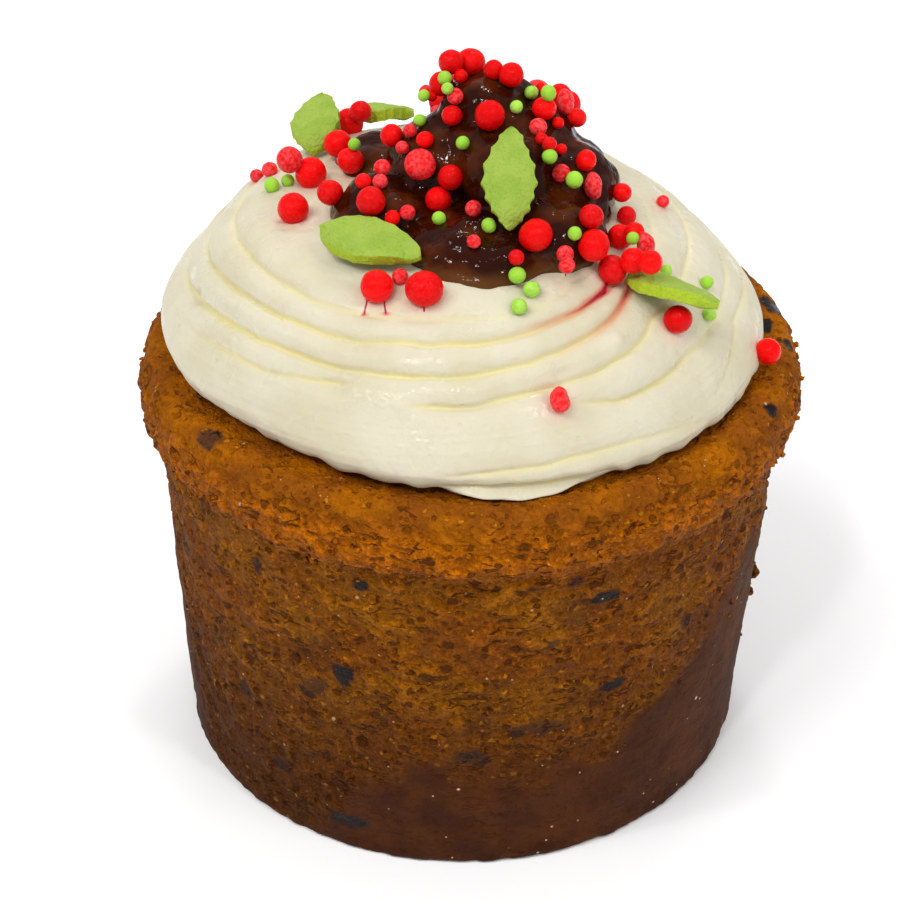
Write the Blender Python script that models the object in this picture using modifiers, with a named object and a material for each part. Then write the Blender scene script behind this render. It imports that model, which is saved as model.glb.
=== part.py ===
# A cookie pie: a deep cookie cup with a piped swirl of icing, a heap of dark fruit sauce on it,
# and sugar pearls and sugar leaves over both. Metres, +Z up; the cup stands on z = 0.
import math
import random

import bmesh
import bpy
from mathutils import Matrix, Vector, noise
from mathutils.bvhtree import BVHTree

MM = 0.001
GAP = 0.3 * MM  # room left between neighbouring pieces
ROW_MARGIN = 0.1 * MM  # tells one row of a turned profile from the next

# Cookie cup
LIP_RADIUS = 39.8 * MM
LIP_UNDERSIDE = 43.4 * MM
WALL_RADIUS = 38.0 * MM  # just below the lip
FOOT_RADIUS = 35.3 * MM
FOOT_ROUNDING = 0.9 * MM
FOOT_SHIFT = Vector((-0.9, -1.6, 0)) * MM  # the foot stands a little off the lip's centre
CUP_TOP = 52.0 * MM
RIM_CREST = 0.5 * MM  # the rim's crest above the flat top
SHOULDER_RADIUS = 3.4 * MM  # from the crest out to the lip
SHOULDER_DROP = 4.4 * MM
LIP_TAPER = 0.5 * MM  # the lip draws in by this much before its underside
SEAT_RADIUS = 34.2 * MM
CUP_STEPS = 50
WALL_ROWS = 9
CRUMB_RELIEF = 0.45 * MM
CRACK_FROM = Vector((18.7, -28.1, 52.0)) * MM  # a shallow crack runs from the icing to the lip
CRACK_TO = Vector((24.0, -36.5, 51.0)) * MM
CRACK_DEPTH = 0.9 * MM
CRACK_WIDTH = 1.6 * MM

# Icing: half profiles from its foot to its crown, radius and height in millimetres
ICING_LEFT = [(33.4, 52.3), (35.6, 53.2), (36.9, 55.6), (36.2, 58.0), (34.2, 60.4), (32.4, 63.0),
              (30.3, 65.6), (27.6, 67.9), (24.0, 69.5), (19.0, 70.4), (11.0, 70.6), (0.0, 70.6)]
ICING_RIGHT = [(33.4, 52.3), (34.4, 52.9), (34.8, 54.6), (33.9, 56.8), (32.6, 58.8), (30.6, 61.0),
               (28.2, 63.6), (25.0, 66.2), (21.4, 68.4), (17.0, 69.8), (10.0, 70.4), (0.0, 70.6)]
ICING_ROWS = 34
ICING_STEPS = 46
CREASE_DEPTH = 0.95 * MM
CREASE_WIDTH = 1.3 * MM
CREASE_SPAN = 4 * MM  # a crease is felt no further away than this
ICING_RELIEF = 0.35 * MM
HOLLOW_DIRECTION = -130  # degrees; the icing's foot draws in at the front left
HOLLOW_DEPTH = 2.2 * MM
TAIL_DIRECTION = -80  # the rope's first end bulges from under the front
TAIL_REACH = 1.7 * MM
HOLLOW_WIDTH = 26  # degrees
TAIL_WIDTH = 11
# Creases of the rope, up the profile: degrees, distance from the foot in millimetres, strength
CREASES = [
    [(-180, 20.4, 0.5), (-169, 21.0, 0.6), (-154, 21.7, 0.7), (-142, 22.0, 0.7), (-126, 22.2, 0.6),
     (-108, 22.7, 0.35), (-96, 23.4, 0.35), (-83, 23.6, 0.35), (-72, 24.3, 0.35), (-61, 25.8, 0.2),
     (-45, 27.5, 0)],
    [(-180, 15.5, 0.8), (-172, 16.2, 0.9), (-159, 17.5, 1), (-148, 18.2, 1), (-135, 18.9, 1), (-119, 19.2, 1),
     (-106, 20.1, 1), (-92, 20.6, 1), (-78, 21.6, 1), (-68, 22.3, 1), (-60, 23.0, 1), (-52, 23.8, 1),
     (-40, 24.8, 0.7), (-20, 26.5, 0.3), (0, 28, 0)],
    [(-180, 11.0, 0.5), (-167, 12.4, 0.9), (-157, 13.8, 1), (-147, 14.7, 1), (-137, 15.3, 1), (-124, 15.8, 1),
     (-110, 16.2, 1), (-98, 16.9, 1), (-90, 17.3, 1), (-81, 18.0, 1), (-72, 18.8, 1), (-60, 20.0, 1),
     (-53, 20.8, 1), (-43, 22.6, 0.9), (-25, 24, 0.5), (0, 26, 0.3), (25, 27.5, 0)],
    [(-166, 9.3, 0), (-151, 11.2, 0.4), (-143, 11.8, 0.6), (-135, 12.4, 0.6), (-126, 13.4, 0.7),
     (-119, 14.2, 0.9), (-113, 14.8, 0)],
    [(-104, 13.4, 0), (-98, 13.6, 0.9), (-91, 13.8, 0.9), (-84, 14.5, 0.9), (-76, 15.3, 0.8),
     (-69, 15.6, 0.8), (-60, 16.2, 0.9), (-53, 16.9, 0.9), (-47, 17.8, 0.8), (-42, 18.9, 0.7),
     (-20, 20, 0.5), (30, 20.4, 0.6), (100, 20.5, 0.6), (180, 20.4, 0.5)],
    [(-72, 13.6, 0), (-65, 12.8, 0.6), (-60, 12.2, 0.9), (-52, 12.4, 0.9), (-47, 12.8, 0.8), (-39, 13.6, 0.6),
     (-20, 14.4, 0.4), (30, 15, 0.6), (100, 15.5, 0.8), (180, 15.5, 0.8)],
    [(-38, 7, 0), (-32, 8.3, 0.4), (-24, 10.3, 0.5), (-18, 12.0, 0.4), (0, 11, 0.4), (60, 10.5, 0.6),
     (120, 10.8, 0.6), (180, 11.0, 0.5)],
    [(-97, 5.2, 0), (-91, 5.6, 0.5), (-81, 6.3, 0.6), (-72, 6.8, 0.6), (-64, 7.0, 0.5), (-57, 6.7, 0.4),
     (-49, 6.0, 0.3), (-40, 5.2, 0)],
]

# Sauce heap: lumps as centre x, y, z and half widths x, y, z, in millimetres
SAUCE_LUMPS = [(3.5, 2, 74, 9.5, 9, 8.5), (2.2, 3, 79.5, 5.8, 6, 5), (11, -1, 72, 5.8, 7, 5.6),
               (0.5, -12, 69.6, 8.8, 8, 4.3), (8.8, -9.8, 70.6, 6, 7, 5.0), (-10, -5.5, 70.8, 6.3, 6.2, 4.4),
               (-3.2, 1.5, 73.2, 6.6, 7.5, 6.6), (-10, 9.6, 69.8, 6.2, 6.8, 3.1),
               (3, 9, 71.5, 9.5, 7, 6.5), (4.5, -3.9, 75.5, 6.5, 6.5, 5.6)]
SAUCE_VOXEL = 2.3 * MM
SAUCE_RELIEF = 0.9 * MM

# Leaves: length, width, centre, lengthwise direction and facing, in millimetres
LEAF_THICKNESS = 1.7 * MM
LEAF_WAVE = 0.35 * MM
LEAF_STATIONS = 11
LEAVES = {
    "leaf_1": (10.8, 6.2, (-18.6, 15.0, 72.6), (0.12, 0.96, 0.24), (-0.1, -0.25, 0.96)),
    "leaf_2": (6.8, 6.4, (-10.4, 23.5, 69.9), (1.0, 0.05, 0.0), (-0.05, 0.24, 0.97)),
    "leaf_3": (11.5, 6.3, (4.1, -11.6, 78.7), (0.03, 0.62, 0.79), (0.0, -0.79, 0.62)),
    "leaf_4": (12.3, 6.4, (-11.3, -15.0, 72.6), (11.6, -4.8, -1.8), (-0.1, -0.3, 0.95)),
    "leaf_5": (10.7, 6.4, (22.1, -16.9, 67.7), (10.5, -3.8, -0.6), (0.2, 0.2, 0.96)),
}

# Pearls are placed as they show from one point in front of the pie and above it. Across and
# up are millimetres on a plane through SIGHT_CENTRE that faces that point.
SIGHT_POINT = Vector((0, -232.1, 191.6)) * MM
SIGHT_CENTRE = Vector((0, 0, 35)) * MM
LARGE_RED = [(-0.5, 48.8, 3.5), (-2.6, 48.4, 3.0), (-5.0, 46.4, 2.9), (2.7, 47.4, 2.3), (4.9, 46.8, 2.8),
             (2.2, 41.7, 3.4), (-2.5, 41.7, 2.4), (9.0, 42.6, 2.8), (11.7, 43.3, 2.6), (13.5, 41.6, 2.3),
             (8.2, 40.3, 2.1), (14.2, 36.1, 2.4), (11.1, 34.5, 2.1), (15.1, 32.9, 2.6), (18.7, 32.1, 2.3),
             (14.8, 29.1, 2.8), (19.3, 29.2, 2.3), (7.1, 27.6, 3.7), (15.1, 25.5, 3.5), (18.3, 26.6, 3.0),
             (20.2, 27.2, 2.3), (21.6, 25.5, 2.6), (17.7, 22.4, 3.3), (20.0, 23.6, 2.9), (22.1, 23.4, 2.7),
             (-6.5, 35.6, 3.7), (-2.7, 34.0, 3.0), (-4.2, 31.2, 3.0), (-12.7, 31.0, 3.3), (-14.2, 41.0, 3.6),
             (-13.7, 42.2, 2.7), (-17.3, 37.8, 3.4), (-15.1, 35.8, 3.2), (-20.0, 34.5, 3.8),
             (-22.7, 36.2, 3.2), (-17.7, 32.1, 3.1), (-22.3, 30.1, 3.6), (-10.0, 39.2, 2.7),
             (-12.0, 20.4, 3.8), (-6.1, 20.1, 4.1), (25.6, 16.3, 3.3), (37.0, 12.3, 3.2)]
SMALL_RED = [(-25.1, 35.0, 1.9), (-26.7, 34.2, 1.7), (-1.4, 46.6, 1.7), (-2.1, 44.1, 1.9), (-5.0, 44.1, 1.2),
             (-7.7, 39.8, 1.6), (-8.7, 37.7, 1.6), (-5.9, 38.7, 2.0), (-11.2, 35.2, 2.0), (-13.6, 33.5, 1.9),
             (-11.5, 33.5, 1.8), (-10.0, 28.9, 1.8), (-8.1, 29.6, 1.8), (0.1, 30.1, 1.9), (0.1, 26.0, 1.6),
             (5.4, 24.0, 1.8), (11.5, 24.4, 2.0), (11.7, 23.0, 1.8), (-9.1, 21.6, 1.8), (8.6, 45.2, 1.3),
             (10.7, 40.8, 1.4), (8.6, 38.8, 1.4), (9.6, 38.1, 1.7), (11.1, 37.5, 1.3), (23.9, 31.0, 1.5),
             (10.8, 6.2, 2.6)]
GREEN = [(-3.4, 46.4, 1.6), (-3.1, 45.1, 1.4), (-6.0, 44.2, 1.4), (-6.5, 41.1, 1.5), (-1.2, 38.3, 1.6),
         (5.5, 42.8, 1.5), (7.4, 44.6, 1.6), (9.5, 44.5, 1.8), (9.6, 36.6, 1.7), (12.7, 33.7, 2.0),
         (-14.6, 38.1, 1.5), (-24.9, 33.0, 1.9), (-22.9, 33.6, 1.6), (-4.2, 28.9, 1.6), (2.0, 28.0, 1.7),
         (12.7, 27.0, 1.6), (20.0, 26.4, 1.5), (5.5, 21.8, 1.9), (7.2, 20.1, 1.9), (5.7, 17.9, 1.8),
         (24.2, 22.4, 1.4), (29.3, 20.9, 1.6), (29.6, 16.9, 1.6)]
PEARL_SINK = 0.35  # share of a pearl's radius that is sunk in what it lies on
PILE_CLOSENESS = 0.88  # pearls in a pile sit this close, as a share of their two radii
FACET_SWELL = 1.08  # makes a faceted pearl as big as the round one
LARGE_PEARL = 1.45 * MM  # radius above which a pearl has more facets
FURTHEST_MOVE = 2.5 * MM  # a pearl that has to move further than this is left out
HOLD_REACH = 0.75  # a pearl is held while its centre is this share of its radius from its seat
PEARL_PATH = (0.14, 0.34)  # stretch of a sight line, from its start, in which pearls are set
BACK_DROP = 0.25  # height that the pearls of the back are dropped from
TOUCHING = 0.02 * MM
BACK_PEARLS = 18  # scattered over the back of the heap
BACK_SEED = 11
MERGE_DISTANCE = 0.002 * MM

# Colour and roughness
FINISHES = {
    "cookie_base": ((0.17, 0.065, 0.014), 0.7),
    "icing": ((0.80, 0.74, 0.58), 0.45),
    "fruit_sauce": ((0.02, 0.006, 0.004), 0.15),
    "leaf": ((0.36, 0.49, 0.06), 0.75),
}


def clear_scene():
    for old in list(bpy.data.objects):
        bpy.data.objects.remove(old, do_unlink=True)


def new_collection(name, hidden=False):
    group = bpy.data.collections.new(name)
    bpy.context.scene.collection.children.link(group)
    group.hide_render = hidden
    return group


def material(name, colour, roughness):
    made = bpy.data.materials.new(name)
    made.use_nodes = True
    shader = made.node_tree.nodes["Principled BSDF"]
    shader.inputs["Base Color"].default_value = (*colour, 1)
    shader.inputs["Roughness"].default_value = roughness
    shader.inputs["Metallic"].default_value = 0
    return made


def add_object(name, mesh, group):
    made = bpy.data.objects.new(name, mesh)
    group.objects.link(made)
    return made


def apply_modifiers(obj):
    """Gives the object the mesh that its modifiers make, without them."""
    bpy.context.view_layer.update()
    graph = bpy.context.evaluated_depsgraph_get()
    made = bpy.data.meshes.new_from_object(obj.evaluated_get(graph))
    obj.modifiers.clear()
    obj.data = made
    return obj


def turned(name, profile, steps, group):
    """Turns a profile, radius and height from the top down, round the Z axis."""
    mesh = bpy.data.meshes.new(name)
    edges = [(i, i + 1) for i in range(len(profile) - 1)]
    mesh.from_pydata([(radius, 0, height) for radius, height in profile], edges, [])
    obj = add_object(name, mesh, group)
    screw = obj.modifiers.new("Turn", "SCREW")
    screw.steps = screw.render_steps = steps
    screw.use_merge_vertices = True
    screw.merge_threshold = 0.00001
    return apply_modifiers(obj)


def smooth_path(points, count):
    """Evenly spread points on a Catmull-Rom curve through the given ones."""
    ends = [points[0], *points, points[-1]]
    path = []
    for i in range(count):
        place = i / (count - 1) * (len(points) - 1)
        step = min(int(place), len(points) - 2)
        t = place - step
        a, b, c, d = ends[step:step + 4]
        path.append(tuple(0.5 * (2 * q + (r - p) * t + (2 * p - 5 * q + 4 * r - s) * t * t
                                 + (3 * q - p - 3 * r + s) * t ** 3)
                          for p, q, r, s in zip(a, b, c, d)))
    return path


def between(value, table):
    """Reads a table of pairs at a value, in straight lines."""
    for (x0, y0), (x1, y1) in zip(table, table[1:]):
        if value <= x1:
            return y0 + (y1 - y0) * (value - x0) / (x1 - x0)
    return table[-1][1]


def fade(value, low, high):
    """0 below low, 1 above high, and a smooth rise between."""
    t = min(max((value - low) / (high - low), 0), 1)
    return t * t * (3 - 2 * t)


def rough(point, size, seed):
    """Smooth noise from -1 to 1, with lumps about as wide as size."""
    return noise.noise(point / size + Vector((seed, 0, 0)))


def cookie_profile():
    """Radius and height, from the middle of the top down to the middle of the foot."""
    arc = [math.radians(90 * i / 5) for i in range(6)]
    crest = LIP_RADIUS - SHOULDER_RADIUS
    points = [(SEAT_RADIUS * share, CUP_TOP) for share in (0, 0.35, 0.7, 1)]
    points += [(crest + SHOULDER_RADIUS * math.sin(a),
                CUP_TOP + RIM_CREST - SHOULDER_DROP * (1 - math.cos(a))) for a in arc]
    points += [(LIP_RADIUS - LIP_TAPER / 5, LIP_UNDERSIDE + 3 * LIP_TAPER),
               (LIP_RADIUS - LIP_TAPER, LIP_UNDERSIDE + LIP_TAPER / 2),
               (WALL_RADIUS, LIP_UNDERSIDE - LIP_TAPER / 2)]
    for i in range(1, WALL_ROWS + 1):
        share = i / WALL_ROWS
        points.append((WALL_RADIUS + (FOOT_RADIUS - WALL_RADIUS) * share,
                       LIP_UNDERSIDE + (FOOT_ROUNDING - LIP_UNDERSIDE) * share))
    points += [(FOOT_RADIUS - FOOT_ROUNDING * (1 - math.cos(a)), FOOT_ROUNDING * (1 - math.sin(a)))
               for a in arc[2::3]]
    return points + [(FOOT_RADIUS - FOOT_ROUNDING, 0), (FOOT_RADIUS / 2, 0), (0, 0)]


def crack_at(point):
    """How deep the shallow crack in the top is at a point."""
    line = CRACK_TO - CRACK_FROM
    share = min(max((point - CRACK_FROM).dot(line) / line.length_squared, 0), 1)
    away = (point - CRACK_FROM - line * share).length
    return CRACK_DEPTH * share * math.exp(-(away / CRACK_WIDTH) ** 2)


def make_cookie(group):
    """The turned cup with uneven sides, its foot drawn a little off centre."""
    cookie = turned("cookie_base", cookie_profile(), CUP_STEPS, group)
    for vertex in cookie.data.vertices:
        point = vertex.co.copy()
        radius = math.hypot(point.x, point.y)
        if radius < SEAT_RADIUS - ROW_MARGIN:
            continue
        outward = Vector((point.x, point.y, 0)).normalized()
        lumps = 0.6 * rough(point, 9 * MM, 0) + 0.4 * rough(point, 4 * MM, 5)
        free = fade(point.z, 0, 3 * MM)
        if radius > SEAT_RADIUS + ROW_MARGIN:
            vertex.co += outward * CRUMB_RELIEF * lumps * free
            vertex.co.z -= crack_at(point)
        vertex.co += FOOT_SHIFT * (1 - point.z / CUP_TOP)
    return cookie


def crease_depth(direction, distance):
    """Depth of the rope's creases at a direction in degrees and a distance up the profile."""
    depth = 0
    for table in CREASES:
        if not table[0][0] <= direction <= table[-1][0]:
            continue
        off = distance - between(direction, [(turn, place) for turn, place, _ in table]) * MM
        if abs(off) < CREASE_SPAN:
            strength = between(direction, [(turn, value) for turn, _, value in table])
            depth += strength * CREASE_DEPTH * math.exp(-(off / CREASE_WIDTH) ** 2)
    return depth


def make_icing(name, group, grow=0):
    """The piped swirl, its whole surface moved out by grow."""
    left = [(r * MM, z * MM) for r, z in smooth_path(ICING_LEFT, ICING_ROWS)]
    right = [(r * MM, z * MM) for r, z in smooth_path(ICING_RIGHT, ICING_ROWS)]
    foot = left[0]
    icing = turned(name, left[::-1] + [(foot[0] / 2, foot[1]), (0, foot[1])], ICING_STEPS, group)
    distances = [0]
    for (r0, z0), (r1, z1) in zip(left, left[1:]):
        distances.append(distances[-1] + math.hypot(r1 - r0, z1 - z0))
    for vertex in icing.data.vertices:
        point = vertex.co.copy()
        radius = math.hypot(point.x, point.y)
        row = min(range(ICING_ROWS), key=lambda i: abs(left[i][0] - radius) + abs(left[i][1] - point.z))
        if point.z < foot[1] + ROW_MARGIN and radius < foot[0] - ROW_MARGIN:
            vertex.co.z -= grow
            continue
        direction = math.degrees(math.atan2(point.y, point.x))
        to_right = 0.5 + 0.5 * math.cos(math.radians(direction))
        low = 1 - fade(distances[row], 5 * MM, 14 * MM)
        hollow = HOLLOW_DEPTH * low * math.exp(-((direction - HOLLOW_DIRECTION) / HOLLOW_WIDTH) ** 2)
        tail = TAIL_REACH * (1 - fade(distances[row], 1 * MM, 3 * MM))
        tail *= math.exp(-((direction - TAIL_DIRECTION) / TAIL_WIDTH) ** 4)
        before, after = max(row - 1, 0), min(row + 1, ICING_ROWS - 1)
        along = Vector((left[after][0] - left[before][0], left[after][1] - left[before][1])).normalized()
        outward = Vector((along.y, -along.x))
        push = grow - crease_depth(direction, distances[row])
        push += ICING_RELIEF * rough(point, 11 * MM, 3) * fade(distances[row], 0, 4 * MM)
        new_radius = left[row][0] * (1 - to_right) + right[row][0] * to_right
        new_radius += outward.x * push - hollow + tail
        new_height = left[row][1] * (1 - to_right) + right[row][1] * to_right + outward.y * push
        if row == ICING_ROWS - 1:
            new_radius = 0
        if row == 0:
            new_height = foot[1] - grow
        turn = math.atan2(point.y, point.x)
        vertex.co = (new_radius * math.cos(turn), new_radius * math.sin(turn), new_height)
    return icing


def make_sauce(name, group, helpers):
    """Lumps melted into one heap, cut off just above the icing."""
    form = bmesh.new()
    for x, y, z, wide, deep, high in SAUCE_LUMPS:
        size = Matrix.Diagonal((wide * MM, deep * MM, high * MM, 1))
        place = Matrix.Translation(Vector((x, y, z)) * MM) @ size
        bmesh.ops.create_icosphere(form, subdivisions=3, radius=1, matrix=place)
    mesh = bpy.data.meshes.new(name)
    form.to_mesh(mesh)
    form.free()
    sauce = add_object(name, mesh, group)
    remesh = sauce.modifiers.new("Melt", "REMESH")
    remesh.mode = "VOXEL"
    remesh.voxel_size = SAUCE_VOXEL
    soften = sauce.modifiers.new("Soften", "SMOOTH")
    soften.iterations = 2
    apply_modifiers(sauce)
    normals = [vertex.normal.copy() for vertex in sauce.data.vertices]
    for vertex, normal in zip(sauce.data.vertices, normals):
        lumps = 0.65 * rough(vertex.co, 5 * MM, 7) + 0.35 * rough(vertex.co, 2.6 * MM, 9)
        vertex.co += normal * SAUCE_RELIEF * lumps
    cutter = make_icing("sauce_cutter", helpers, GAP)
    cutter.display_type = "WIRE"
    cut = sauce.modifiers.new("Cut", "BOOLEAN")
    cut.operation = "DIFFERENCE"
    cut.object = cutter
    apply_modifiers(sauce)
    bpy.data.objects.remove(cutter)
    return sauce


def leaf_half_width(share):
    """Half the leaf's width, as a share of its widest, from stem 0 to tip 1."""
    body = math.sin(math.pi * (0.06 + 0.88 * share)) ** 0.85
    scallop = 0.09 * math.cos(2 * math.pi * 4 * (share - 0.5))
    return body + scallop * fade(share, 0.08, 0.25) * (1 - fade(share, 0.75, 0.92))


def make_leaf(name, spec, group):
    length, width, centre, along, facing = spec
    columns = (-1, -0.4, 0.4, 1)
    form = bmesh.new()
    rows = []
    for i in range(LEAF_STATIONS):
        share = i / (LEAF_STATIONS - 1)
        half = width / 2 * leaf_half_width(share) * MM
        x = (share - 0.5) * length * MM
        rows.append([form.verts.new((x, half * side, LEAF_WAVE * math.sin(5 * share + 1.3 * side)))
                     for side in columns])
    for low, high in zip(rows, rows[1:]):
        for i in range(len(columns) - 1):
            form.faces.new((low[i], high[i], high[i + 1], low[i + 1]))
    bmesh.ops.triangulate(form, faces=form.faces[:])
    mesh = bpy.data.meshes.new(name)
    form.to_mesh(mesh)
    form.free()
    leaf = add_object(name, mesh, group)
    solid = leaf.modifiers.new("Thickness", "SOLIDIFY")
    solid.thickness = LEAF_THICKNESS
    solid.offset = 0
    across_up = Vector(facing).normalized()
    lengthwise = Vector(along)
    lengthwise = (lengthwise - across_up * lengthwise.dot(across_up)).normalized()
    axes = Matrix((lengthwise, across_up.cross(lengthwise), across_up)).transposed()
    leaf.matrix_world = Matrix.Translation(Vector(centre) * MM) @ axes.to_4x4()
    return leaf


def surface_of(obj):
    bpy.context.view_layer.update()
    graph = bpy.context.evaluated_depsgraph_get()
    form = bmesh.new()
    form.from_object(obj, graph)
    form.transform(obj.matrix_world)
    tree = BVHTree.FromBMesh(form)
    form.free()
    return tree


def distance_to(tree, point, thin=False):
    """Distance to a surface, negative inside one that isn't thin, and the way straight off it."""
    place, normal, _, distance = tree.find_nearest(point)
    outside = thin or (point - place).dot(normal) > -0.5 * distance
    away = (point - place).normalized() if outside else (place - point).normalized()
    return (distance if outside else -distance), away


class PearlPlacer:
    """Sets each pearl down where its line of sight first meets what carries it."""

    def __init__(self, carriers, leaves):
        self.carriers = {name: surface_of(obj) for name, obj in carriers.items()}
        self.leaves = [surface_of(obj) for obj in leaves]
        self.placed = []

    def room(self, point, radius):
        """The smallest gap from a pearl at this point to a seat or another pearl."""
        gaps = [distance_to(tree, point)[0] - radius * (1 - PEARL_SINK) for tree in self.carriers.values()]
        gaps += [(point - other).length - (radius + size) * PILE_CLOSENESS for other, size, _ in self.placed]
        return min(gaps)

    def first_contact(self, start, way, radius):
        travelled, end = PEARL_PATH
        best = (end, None)
        while travelled < end:
            point = start + way * travelled
            room = self.room(point, radius)
            if room < best[0]:
                best = (room, point)
            if room < TOUCHING:
                return point
            travelled += max(room, 2 * TOUCHING)
        return best[1]

    def owner_of(self, point, radius):
        seats = {name: distance_to(tree, point)[0] for name, tree in self.carriers.items()}
        nearest = min(seats, key=seats.get)
        if seats[nearest] < radius:
            return nearest
        touching = [(point - other).length - size for other, size, _ in self.placed]
        if touching and min(touching) < radius:
            return self.placed[touching.index(min(touching))][2]
        return nearest

    def crowding(self, point, radius, owner):
        """How far a pearl has to move to clear the pieces that it doesn't belong to."""
        push = Vector()
        others = [distance_to(tree, point) for name, tree in self.carriers.items() if name != owner]
        others += [distance_to(tree, point, thin=True) for tree in self.leaves]
        for distance, away in others:
            push += away * max(radius + GAP - distance, 0)
        for other, size, other_owner in self.placed:
            off = point - other
            if other_owner != owner:
                push += off.normalized() * max(radius + size + GAP - off.length, 0)
        return push

    def settle(self, point, radius, owner):
        """Moves a pearl clear of the other pieces, and back onto its own, until both hold."""
        for _ in range(60):
            push = self.crowding(point, radius, owner)
            if push.length == 0 and self.held(point, radius, owner):
                return point
            point = point + push * 1.05
            if not self.held(point, radius, owner):
                distance, away = distance_to(self.carriers[owner], point)
                point = point - away * min(distance - radius * (HOLD_REACH - 0.05), GAP)
        return None

    def held(self, point, radius, owner):
        """True where a pearl sinks into its seat or leans on a pearl of the same piece."""
        if distance_to(self.carriers[owner], point)[0] < radius * HOLD_REACH:
            return True
        return any(own == owner and (point - other).length < (radius + size) * (PILE_CLOSENESS + 0.01)
                   for other, size, own in self.placed)

    def add(self, start, way, radius):
        point = self.first_contact(start, way, radius)
        first = self.owner_of(point, radius)
        for owner in [first] + [name for name in self.carriers if name != first]:
            settled = self.settle(point, radius, owner)
            if settled is not None and (settled - point).length < FURTHEST_MOVE:
                self.placed.append((settled, radius, owner))
                return True
        return False


def sight_axes():
    toward = (SIGHT_POINT - SIGHT_CENTRE).normalized()
    across = Vector((0, 0, 1)).cross(toward).normalized()
    return toward, across, toward.cross(across)


def place_pearls(placer):
    """Sets down the listed pearls, and then some at the back, where they fit."""
    toward, across, up = sight_axes()
    for kind in (LARGE_RED, SMALL_RED, GREEN):
        for sideways, height, diameter in kind:
            target = SIGHT_CENTRE + (across * sideways + up * height) * MM
            way = (target - SIGHT_POINT).normalized()
            placer.add(SIGHT_POINT, way, diameter / 2 * MM)
    draw = random.Random(BACK_SEED)
    for _ in range(BACK_PEARLS):
        turn = math.radians(draw.uniform(35, 150))
        reach = draw.uniform(9, 20) * MM
        radius = draw.choice((1.7, 1.5, 0.9, 0.9, 0.8)) * MM
        start = Vector((math.cos(turn) * reach + 2 * MM, math.sin(turn) * reach, BACK_DROP))
        placer.add(start, Vector((0, 0, -1)), radius)


def fuse_pearls(carrier, pearls, helpers):
    """One union of a carrier with the pearls that lie on it, each turned another way."""
    for i, (point, radius) in enumerate(pearls):
        sides = 6 if radius > LARGE_PEARL else 5
        form = bmesh.new()
        bmesh.ops.create_uvsphere(form, u_segments=sides, v_segments=sides - 1, radius=radius * FACET_SWELL)
        bmesh.ops.rotate(form, verts=form.verts[:], matrix=Matrix.Rotation(i * 2.3 + 0.4, 3, "X"))
        bmesh.ops.translate(form, verts=form.verts[:], vec=point)
        mesh = bpy.data.meshes.new("pearl")
        form.to_mesh(mesh)
        form.free()
        add_object(f"pearl_{i}", mesh, helpers).display_type = "WIRE"
    union = carrier.modifiers.new("Fuse", "BOOLEAN")
    union.operation = "UNION"
    union.operand_type = "COLLECTION"
    union.collection = helpers
    apply_modifiers(carrier)
    for pearl in list(helpers.objects):
        bpy.data.objects.remove(pearl)
    keep_largest_shell(carrier)


def keep_largest_shell(obj):
    """Joins points that lie together, then drops sealed hollows and loose scraps."""
    form = bmesh.new()
    form.from_mesh(obj.data)
    bmesh.ops.remove_doubles(form, verts=form.verts[:], dist=MERGE_DISTANCE)
    bmesh.ops.triangulate(form, faces=form.faces[:], quad_method="BEAUTY", ngon_method="BEAUTY")
    left = set(form.faces)
    shells = []
    while left:
        shell = {left.pop()}
        front = list(shell)
        while front:
            for edge in front.pop().edges:
                if len(edge.link_faces) != 2:
                    continue
                fresh = [face for face in edge.link_faces if face in left]
                shell.update(fresh)
                left.difference_update(fresh)
                front.extend(fresh)
        shells.append(shell)
    largest = max(shells, key=len)
    scraps = [face for face in form.faces if face not in largest]
    bmesh.ops.delete(form, geom=scraps, context="FACES")
    form.to_mesh(obj.data)
    form.free()


def main():
    clear_scene()
    pie = new_collection("cookie_pie")
    helpers = new_collection("helpers", hidden=True)
    cookie = make_cookie(pie)
    icing = make_icing("icing", pie)
    sauce = make_sauce("fruit_sauce", pie, helpers)
    leaves = [make_leaf(name, spec, pie) for name, spec in LEAVES.items()]
    carriers = {obj.name: obj for obj in (cookie, icing, sauce)}
    placer = PearlPlacer(carriers, leaves)
    place_pearls(placer)
    for name, carrier in carriers.items():
        own_pearls = [(point, radius) for point, radius, owner in placer.placed if owner == name]
        fuse_pearls(carrier, own_pearls, helpers)
        carrier.data.materials.append(material(name, *FINISHES[name]))
        carrier.data.shade_smooth()
        carrier.data.set_sharp_from_angle(angle=math.radians(50))
    for leaf in leaves:
        leaf.data.materials.append(material(leaf.name, *FINISHES["leaf"]))


main()
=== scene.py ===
# A cookie pie: a deep cookie cup with a piped swirl of icing, a heap of dark fruit sauce on it,
# and sugar pearls and sugar leaves over both. Metres, +Z up; the cup stands on z = 0.
import math
import random

import bmesh
import bpy
from mathutils import Matrix, Vector, noise
from mathutils.bvhtree import BVHTree
from mathutils.kdtree import KDTree


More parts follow.
